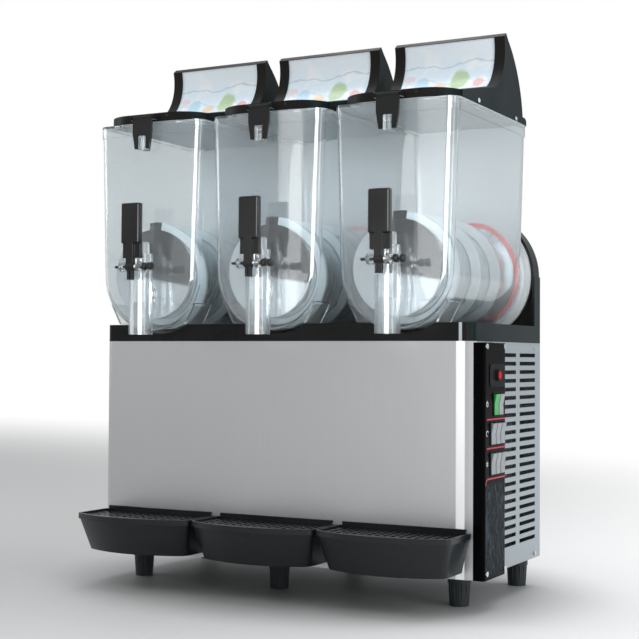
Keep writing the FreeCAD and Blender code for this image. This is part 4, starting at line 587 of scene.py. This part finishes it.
brushed(
    "front_steel",
    (0.56, 0.565, 0.575),
    rough=0.36,
    stretch=(900, 40, 6),
    depth=0.000006,
    shade=0.05,
    bend=STEEL_CORNER,
)
brushed("side_steel", (0.44, 0.50, 0.535), 0.40, stretch=(40, 6, 700), metallic=0.85)
brushed("pan_steel", (0.42, 0.44, 0.45), 0.45, stretch=(300, 30, 30))
brushed("drum_steel", (0.56, 0.62, 0.65), 0.24, stretch=(30, 400, 30), metallic=0.75)
brushed("shaft_steel", (0.60, 0.60, 0.60), 0.2, stretch=(400, 30, 30))
brushed("condenser_alloy", (0.62, 0.63, 0.64), 0.35, stretch=(30, 30, 400))
# The second colour of each moulded finish is a painted cool reflection on its sideways faces.
moulded("deck_black", BLACK, SIDE_SHEEN_BLACK, 0.30, level=0.09, gleam=DECK_PAINTED_HIGHLIGHT)
moulded("cover_black", BLACK, SIDE_SHEEN_BLACK, 0.30, level=0.09)
moulded(
    "lid_black",
    (0.014, 0.013, 0.012),
    (0.007, 0.014, 0.015),
    level=0.10,
    under=(0.42, 0.46, 0.475),
)
moulded("handle_black", (0.008, 0.008, 0.008), (0.014, 0.016, 0.017), 0.35)
moulded("tray_black", (0.006, 0.007, 0.009), (0.009, 0.013, 0.015), 0.28, level=0.38)
moulded("foot_black", (0.020, 0.026, 0.028), (0.026, 0.034, 0.036), 0.5)
clear(
    "bowl_clear",
    tint=(0.755, 0.79, 0.805),
    edge_tint=(0.24, 0.27, 0.28),
    milk=0.085,
    collar_milk=0.6,
)
clear("piston_clear", (0.86, 0.89, 0.90), (0.45, 0.48, 0.50), milk=0.2, rough=0.08)
auger_material()
picture_material()
control_material()
rocker_material("rocker_green", (0.004, 0.33, 0.055), glow=0.12)
rocker_material("rocker_grey", (0.28, 0.31, 0.33), glow=0.0)
plain("gasket_red", (0.80, 0.010, 0.014), 0.35)
plain("spring_steel", (0.55, 0.55, 0.55), 0.25, metallic=1.0)
plain("gearmotor_grey", (0.30, 0.31, 0.32), 0.45, metallic=0.8)
plain("compressor_black", (0.015, 0.015, 0.016), 0.35)
plain("fan_grey", (0.06, 0.065, 0.07), 0.4)
plain("pipe_copper", (0.62, 0.27, 0.15), 0.3, metallic=1.0)
plain("screw_steel", (0.72, 0.73, 0.74), 0.2, metallic=1.0)
plain("red_print", (0.60, 0.004, 0.045), 0.4)
plain("white_print", (0.80, 0.81, 0.82), 0.4)

SWITCH_LOOK = "rocker_grey"
NODE_LOOKS = {
    "front_panel": "front_steel",
    "left_side_panel": "side_steel",
    "right_side_panel": "side_steel",
    "rear_panel": "side_steel",
    "base_pan": "pan_steel",
    "cord_gland": "cover_black",
    "deck": "deck_black",
    "rear_cover": "cover_black",
    "feet": "foot_black",
    "evaporator_drums": "drum_steel",
    "bowl_gaskets": "gasket_red",
    "gearmotors": "gearmotor_grey",
    "control_box": "control_black",
    "compressor": "compressor_black",
    "condenser": "condenser_alloy",
    "fan_motor": "fan_grey",
    "fan_blade": "fan_grey",
    "refrigerant_pipes": "pipe_copper",
    "screws": "screw_steel",
    "power_switch": "rocker_green",
    "drive_shaft": "shaft_steel",
    "auger": "auger_grey",
    "bowl": "bowl_clear",
    "lid": "lid_black",
    "light_panel": "light_picture",
    "lid_latch": "handle_black",
    "tap_handle": "handle_black",
    "tap_piston": "piston_clear",
    "tap_spring": "spring_steel",
    "drip_tray": "tray_black",
    "drip_grille": "tray_black",
}


def look_of(node):
    """The material of a CAD node, whichever bowl it belongs to."""
    for side in SIDES:
        node = node.removesuffix("_" + side)
    return MATERIALS[NODE_LOOKS.get(node, SWITCH_LOOK)]


SMOOTH_BELOW = math.radians(32)
WELD_DISTANCE = 0.000002


def dress(node, obj):
    """Gives a CAD node its material, and smooth shading with crisp edges."""
    obj.data.materials.clear()
    obj.data.materials.append(look_of(node))
    obj.data.polygons.foreach_set("use_smooth", [True] * len(obj.data.polygons))
    if obj.data.has_custom_normals:
        bpy.context.view_layer.objects.active = obj
        bpy.ops.mesh.customdata_custom_splitnormals_clear()
    weld = obj.modifiers.new("weld", "WELD")
    weld.merge_threshold = WELD_DISTANCE
    split = obj.modifiers.new("crease", "EDGE_SPLIT")
    split.split_angle = SMOOTH_BELOW


for node_name, node_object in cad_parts.items():
    dress(node_name, node_object)


# Pieces


def mesh_from(made, name):
    mesh = bpy.data.meshes.new(name)
    made.to_mesh(mesh)
    made.free()
    return mesh


def piece(name, mesh, look, body, smooth=True):
    mesh.validate()
    obj = bpy.data.objects.new(name, mesh)
    bpy.context.scene.collection.objects.link(obj)
    mesh.materials.append(MATERIALS[look])
    mesh.polygons.foreach_set("use_smooth", [smooth] * len(mesh.polygons))
    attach(obj, body)
    return obj


def turned_mesh(name, profile, centre, axis, steps=28):
    """A solid of revolution. The profile is (radius, along the axis) in millimetres."""
    made = bmesh.new()
    rings = []
    for radius, along in profile:
        angles = [2 * math.pi * step / steps for step in range(steps)]
        spots = [(radius * math.cos(angle), radius * math.sin(angle), along) for angle in angles]
        rings.append([made.verts.new(spot) for spot in spots])
    for low, high in zip(rings, rings[1:]):
        for step in range(steps):
            after = (step + 1) % steps
            made.faces.new((low[step], low[after], high[after], high[step]))
    made.faces.new(list(reversed(rings[0])))
    made.faces.new(rings[-1])
    turn = Vector((0, 0, 1)).rotation_difference(Vector(axis)).to_matrix().to_4x4()
    placing = Matrix.Translation(centre) @ turn @ Matrix.Scale(0.001, 4)
    bmesh.ops.transform(made, matrix=placing, verts=made.verts)
    return mesh_from(made, name)


PRINT_THICK_MM = 0.12
PRINT_SUNK_MM = 0.1


def line_mesh(name, points, width):
    """A flat printed line on the control box's face through (y, z) points in millimetres."""
    made = bmesh.new()
    path = [Vector(point) for point in points]
    rows = []
    for number, point in enumerate(path):
        before = path[max(number - 1, 0)]
        after = path[min(number + 1, len(path) - 1)]
        way = (after - before).normalized()
        across = Vector((-way.y, way.x)) * width / 2
        row = []
        for x in (CONTROL_FACE_MM - PRINT_SUNK_MM, CONTROL_FACE_MM + PRINT_THICK_MM):
            for spot in (point - across, point + across):
                row.append(made.verts.new(at(x, spot.x, spot.y)))
        rows.append(row)
    for first, second in zip(rows, rows[1:]):
        for a, b in ((0, 1), (1, 3), (3, 2), (2, 0)):
            made.faces.new((first[a], first[b], second[b], second[a]))
    for row, order in ((rows[0], (0, 2, 3, 1)), (rows[-1], (0, 1, 3, 2))):
        made.faces.new([row[corner] for corner in order])
    bmesh.ops.recalc_face_normals(made, faces=made.faces)
    return mesh_from(made, name)


# Profiles of a domed screw head with its drive recess, and of a small plug
SCREW_PROFILE = (
    (3.4, -0.2),
    (3.4, 0.5),
    (3.1, 1.1),
    (2.4, 1.5),
    (1.5, 1.75),
    (1.0, 1.75),
    (0.9, 1.0),
    (0.2, 0.9),
)
PLUG_PROFILE = ((2.2, -0.3), (2.2, 0.35), (1.9, 0.6), (1.2, 0.7), (0.1, 0.7))


def lid_details(side):
    middle = middle_of(side)
    for number, (y, z) in enumerate(LID_SIDE_SCREWS_MM):
        for end, way in (("left", -1), ("right", 1)):
            spot = at(middle + way * LID_HALF_MM, y, z)
            mesh = turned_mesh("lid_screw", SCREW_PROFILE, spot, (way, 0, 0))
            piece(f"lid_screw_{side}_{end}_{number}", mesh, "screw_steel", f"lid_{side}")
    plug_x, plug_z = LID_PLUG_MM
    spot = at(middle + plug_x, LID_FRONT_MM, plug_z)
    mesh = turned_mesh("lid_plug", PLUG_PROFILE, spot, (0, -1, 0))
    piece(f"lid_plug_{side}", mesh, "handle_black", f"lid_{side}")


for side in SIDES:
    lid_details(side)


# Control box: red rules between the switch groups and small white marks, through (y, z) points

RULE_WIDTH_MM = 2.0
MARK_WIDTH_MM = 1.2
MARK_Y = 10


def arc(z, radius, start, end, step=20):
    """Points round a mark's middle, from one angle to another in degrees."""
    angles = [math.radians(angle) for angle in range(start, end + 1, step)]
    return [(MARK_Y + radius * math.cos(angle), z + radius * math.sin(angle)) for angle in angles]


RULES = {
    "power_rule": [(9, 255.4), (78, 255.4)],
    "mixer_rule": [(9, 216.9), (78, 216.9)],
    "cooling_rule": [(5, 168), (5.6, 171.5), (7.6, 174.6), (10.6, 176.2), (14, 176.5), (78, 176.5)],
}
MARKS = {
    "power_mark_ring": arc(276, 3.2, 115, 425),
    "power_mark_bar": [(MARK_Y, 275.6), (MARK_Y, 280.6)],
    "mixer_mark_ring": arc(237, 3.4, 0, 290),
    "mixer_mark_tip": [(13.4, 237), (13.4, 240.4)],
    "cooling_mark_a": [(MARK_Y, 192.4), (MARK_Y, 200.4)],
    "cooling_mark_b": [(6.6, 194.4), (13.4, 198.4)],
    "cooling_mark_c": [(6.6, 198.4), (13.4, 194.4)],
}
PRINTS = ((RULES, RULE_WIDTH_MM, "red_print"), (MARKS, MARK_WIDTH_MM, "white_print"))
for lines, width, look in PRINTS:
    for line, points in lines.items():
        piece(line, line_mesh(line, points, width), look, "machine", smooth=False)


# Floor, lamps and world

FLOOR_RADIUS = 9
FLOOR_DROP = 0.0004
# Painted shade: the floor is darker near the machine and paler further off
FLOOR_NEAR, FLOOR_FAR = (0.76, 0.76, 0.76), (0.88, 0.88, 0.88)
# Half widths of the painted shadow's ellipse under the machine, and the step of tone round its edge
PAINTED_SHADOW_HALF_X, PAINTED_SHADOW_HALF_Y = 0.42, 0.33
PAINTED_SHADOW_STEP = (0.6, 1.13, 0.55, 1.0)
# Painted light: the floor darker on the left and lighter on the right
PAINTED_LIGHT_LEFT_TO_RIGHT = (-0.75, 0.75, 0.58, 1.18)
# The floor fades to white with its distance, sooner on the right.
FADE_RIGHT = 0.8
FADE_STEP = (0.45, 2.7)


def make_floor():
    made = bmesh.new()
    bmesh.ops.create_circle(made, cap_ends=True, radius=FLOOR_RADIUS, segments=64)
    floor = bpy.data.objects.new("floor", mesh_from(made, "floor"))
    floor.location.z = -FLOOR_DROP
    bpy.context.scene.collection.objects.link(floor)
    tree = new_material("floor")
    x, y, _ = tree.axes()
    length = tree.add("VectorMath", operation="LENGTH")
    tree.feed(length.inputs[0], tree.place())
    distance = length.outputs["Value"]
    # Painted shade and light: darker near the machine and on the left
    tone = tree.blend(tree.between(distance, 0.3, 2.5), FLOOR_NEAR, FLOOR_FAR)
    tone = tree.scaled(tone, tree.between(x, *PAINTED_LIGHT_LEFT_TO_RIGHT))
    # Painted shadow: the floor darker in an ellipse under the machine
    wide = tree.calc("DIVIDE", x, PAINTED_SHADOW_HALF_X)
    deep = tree.calc("DIVIDE", y, PAINTED_SHADOW_HALF_Y)
    shadow_distance = tree.calc("SQRT", tree.squares(wide, deep))
    tone = tree.scaled(tone, tree.between(shadow_distance, *PAINTED_SHADOW_STEP))
    surface = tree.shader(Base_Color=tone, Roughness=0.55, Specular_IOR_Level=0.2)
    seen = tree.seen_by("Is Camera Ray", "Is Glossy Ray", "Is Transmission Ray")
    reach = tree.calc("ADD", distance, tree.product(x, FADE_RIGHT))
    white = tree.product(seen, tree.between(reach, *FADE_STEP))
    lit = tree.add("Emission")
    floor.data.materials.append(tree.finish(tree.mix(white, surface, lit.outputs[0])))


WORLD_TINT = (0.965, 0.985, 1.0)
WORLD_STRENGTH = 0.62


def make_world():
    """A soft cool light from all round, white to the camera and through clear plastic."""
    world = bpy.data.worlds.new("studio")
    bpy.context.scene.world = world
    tree = Nodes(world, "OutputWorld")
    grounds = []
    for tint, strength in ((WORLD_TINT, WORLD_STRENGTH), ((1.0, 1.0, 1.0), 1.0)):
        ground = tree.add("Background")
        ground.inputs[0].default_value = colour(tint)
        ground.inputs[1].default_value = strength
        grounds.append(ground.outputs[0])
    tree.finish(tree.mix(tree.seen_by("Is Camera Ray", "Is Transmission Ray"), *grounds))


def lamp(name, place, target, size, watts, lit=None):
    """A soft lamp. With lit, only the nodes whose names start so are lit, and not their colour."""
    data = bpy.data.lights.new(name, "AREA")
    data.shape = "RECTANGLE"
    data.size, data.size_y = size
    data.energy = watts
    obj = bpy.data.objects.new(name, data)
    obj.location = place
    obj.rotation_euler = (Vector(target) - Vector(place)).to_track_quat("-Z", "Y").to_euler()
    bpy.context.scene.collection.objects.link(obj)
    if lit:
        obj.visible_diffuse = False
        obj.visible_camera = False
        receivers = bpy.data.collections.new(name + "_receivers")
        for node, node_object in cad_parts.items():
            if node.startswith(lit):
                receivers.objects.link(node_object)
        obj.light_linking.receiver_collection = receivers


GLEAM_Y_MM, GLEAM_Z_MM = -636, 615
GLEAM_HIGH = 0.46


def gleam(name, x, wide, watts, bowl):
    """A narrow upright lamp straight before a bowl, seen as a pale band in its front."""
    target = at(x, 0, GLEAM_Z_MM)
    lamp(name, at(x, GLEAM_Y_MM, GLEAM_Z_MM), target, (wide, GLEAM_HIGH), watts, (bowl,))


PANEL = (1.7, 1.2)

make_floor()
make_world()
lamp("overhead", (0.0, 0.5, 2.3), (0, 0, 0.4), (2.2, 1.6), 34)
lamp("right_strip", (2.3, -0.9, 0.9), (0, 0, 0.5), (0.5, 1.7), 16)
lamp("far_left", (-2.6, -0.8, 1.5), (0, 0, 0.4), (0.9, 1.6), 18)
lamp("front_glow", (0.85, -2.4, 0.85), (0, 0, 0.6), PANEL, 104, ("bowl_", "tap_"))
lamp("corner_glow", (0.85, -2.4, 0.45), (0, 0, 0.2), PANEL, 14, ("front_panel", "deck"))
gleam("right_gleam", 36, 0.09, 0.36, "bowl_right")
gleam("middle_gleam", -270, 0.08, 0.4, "bowl_middle")
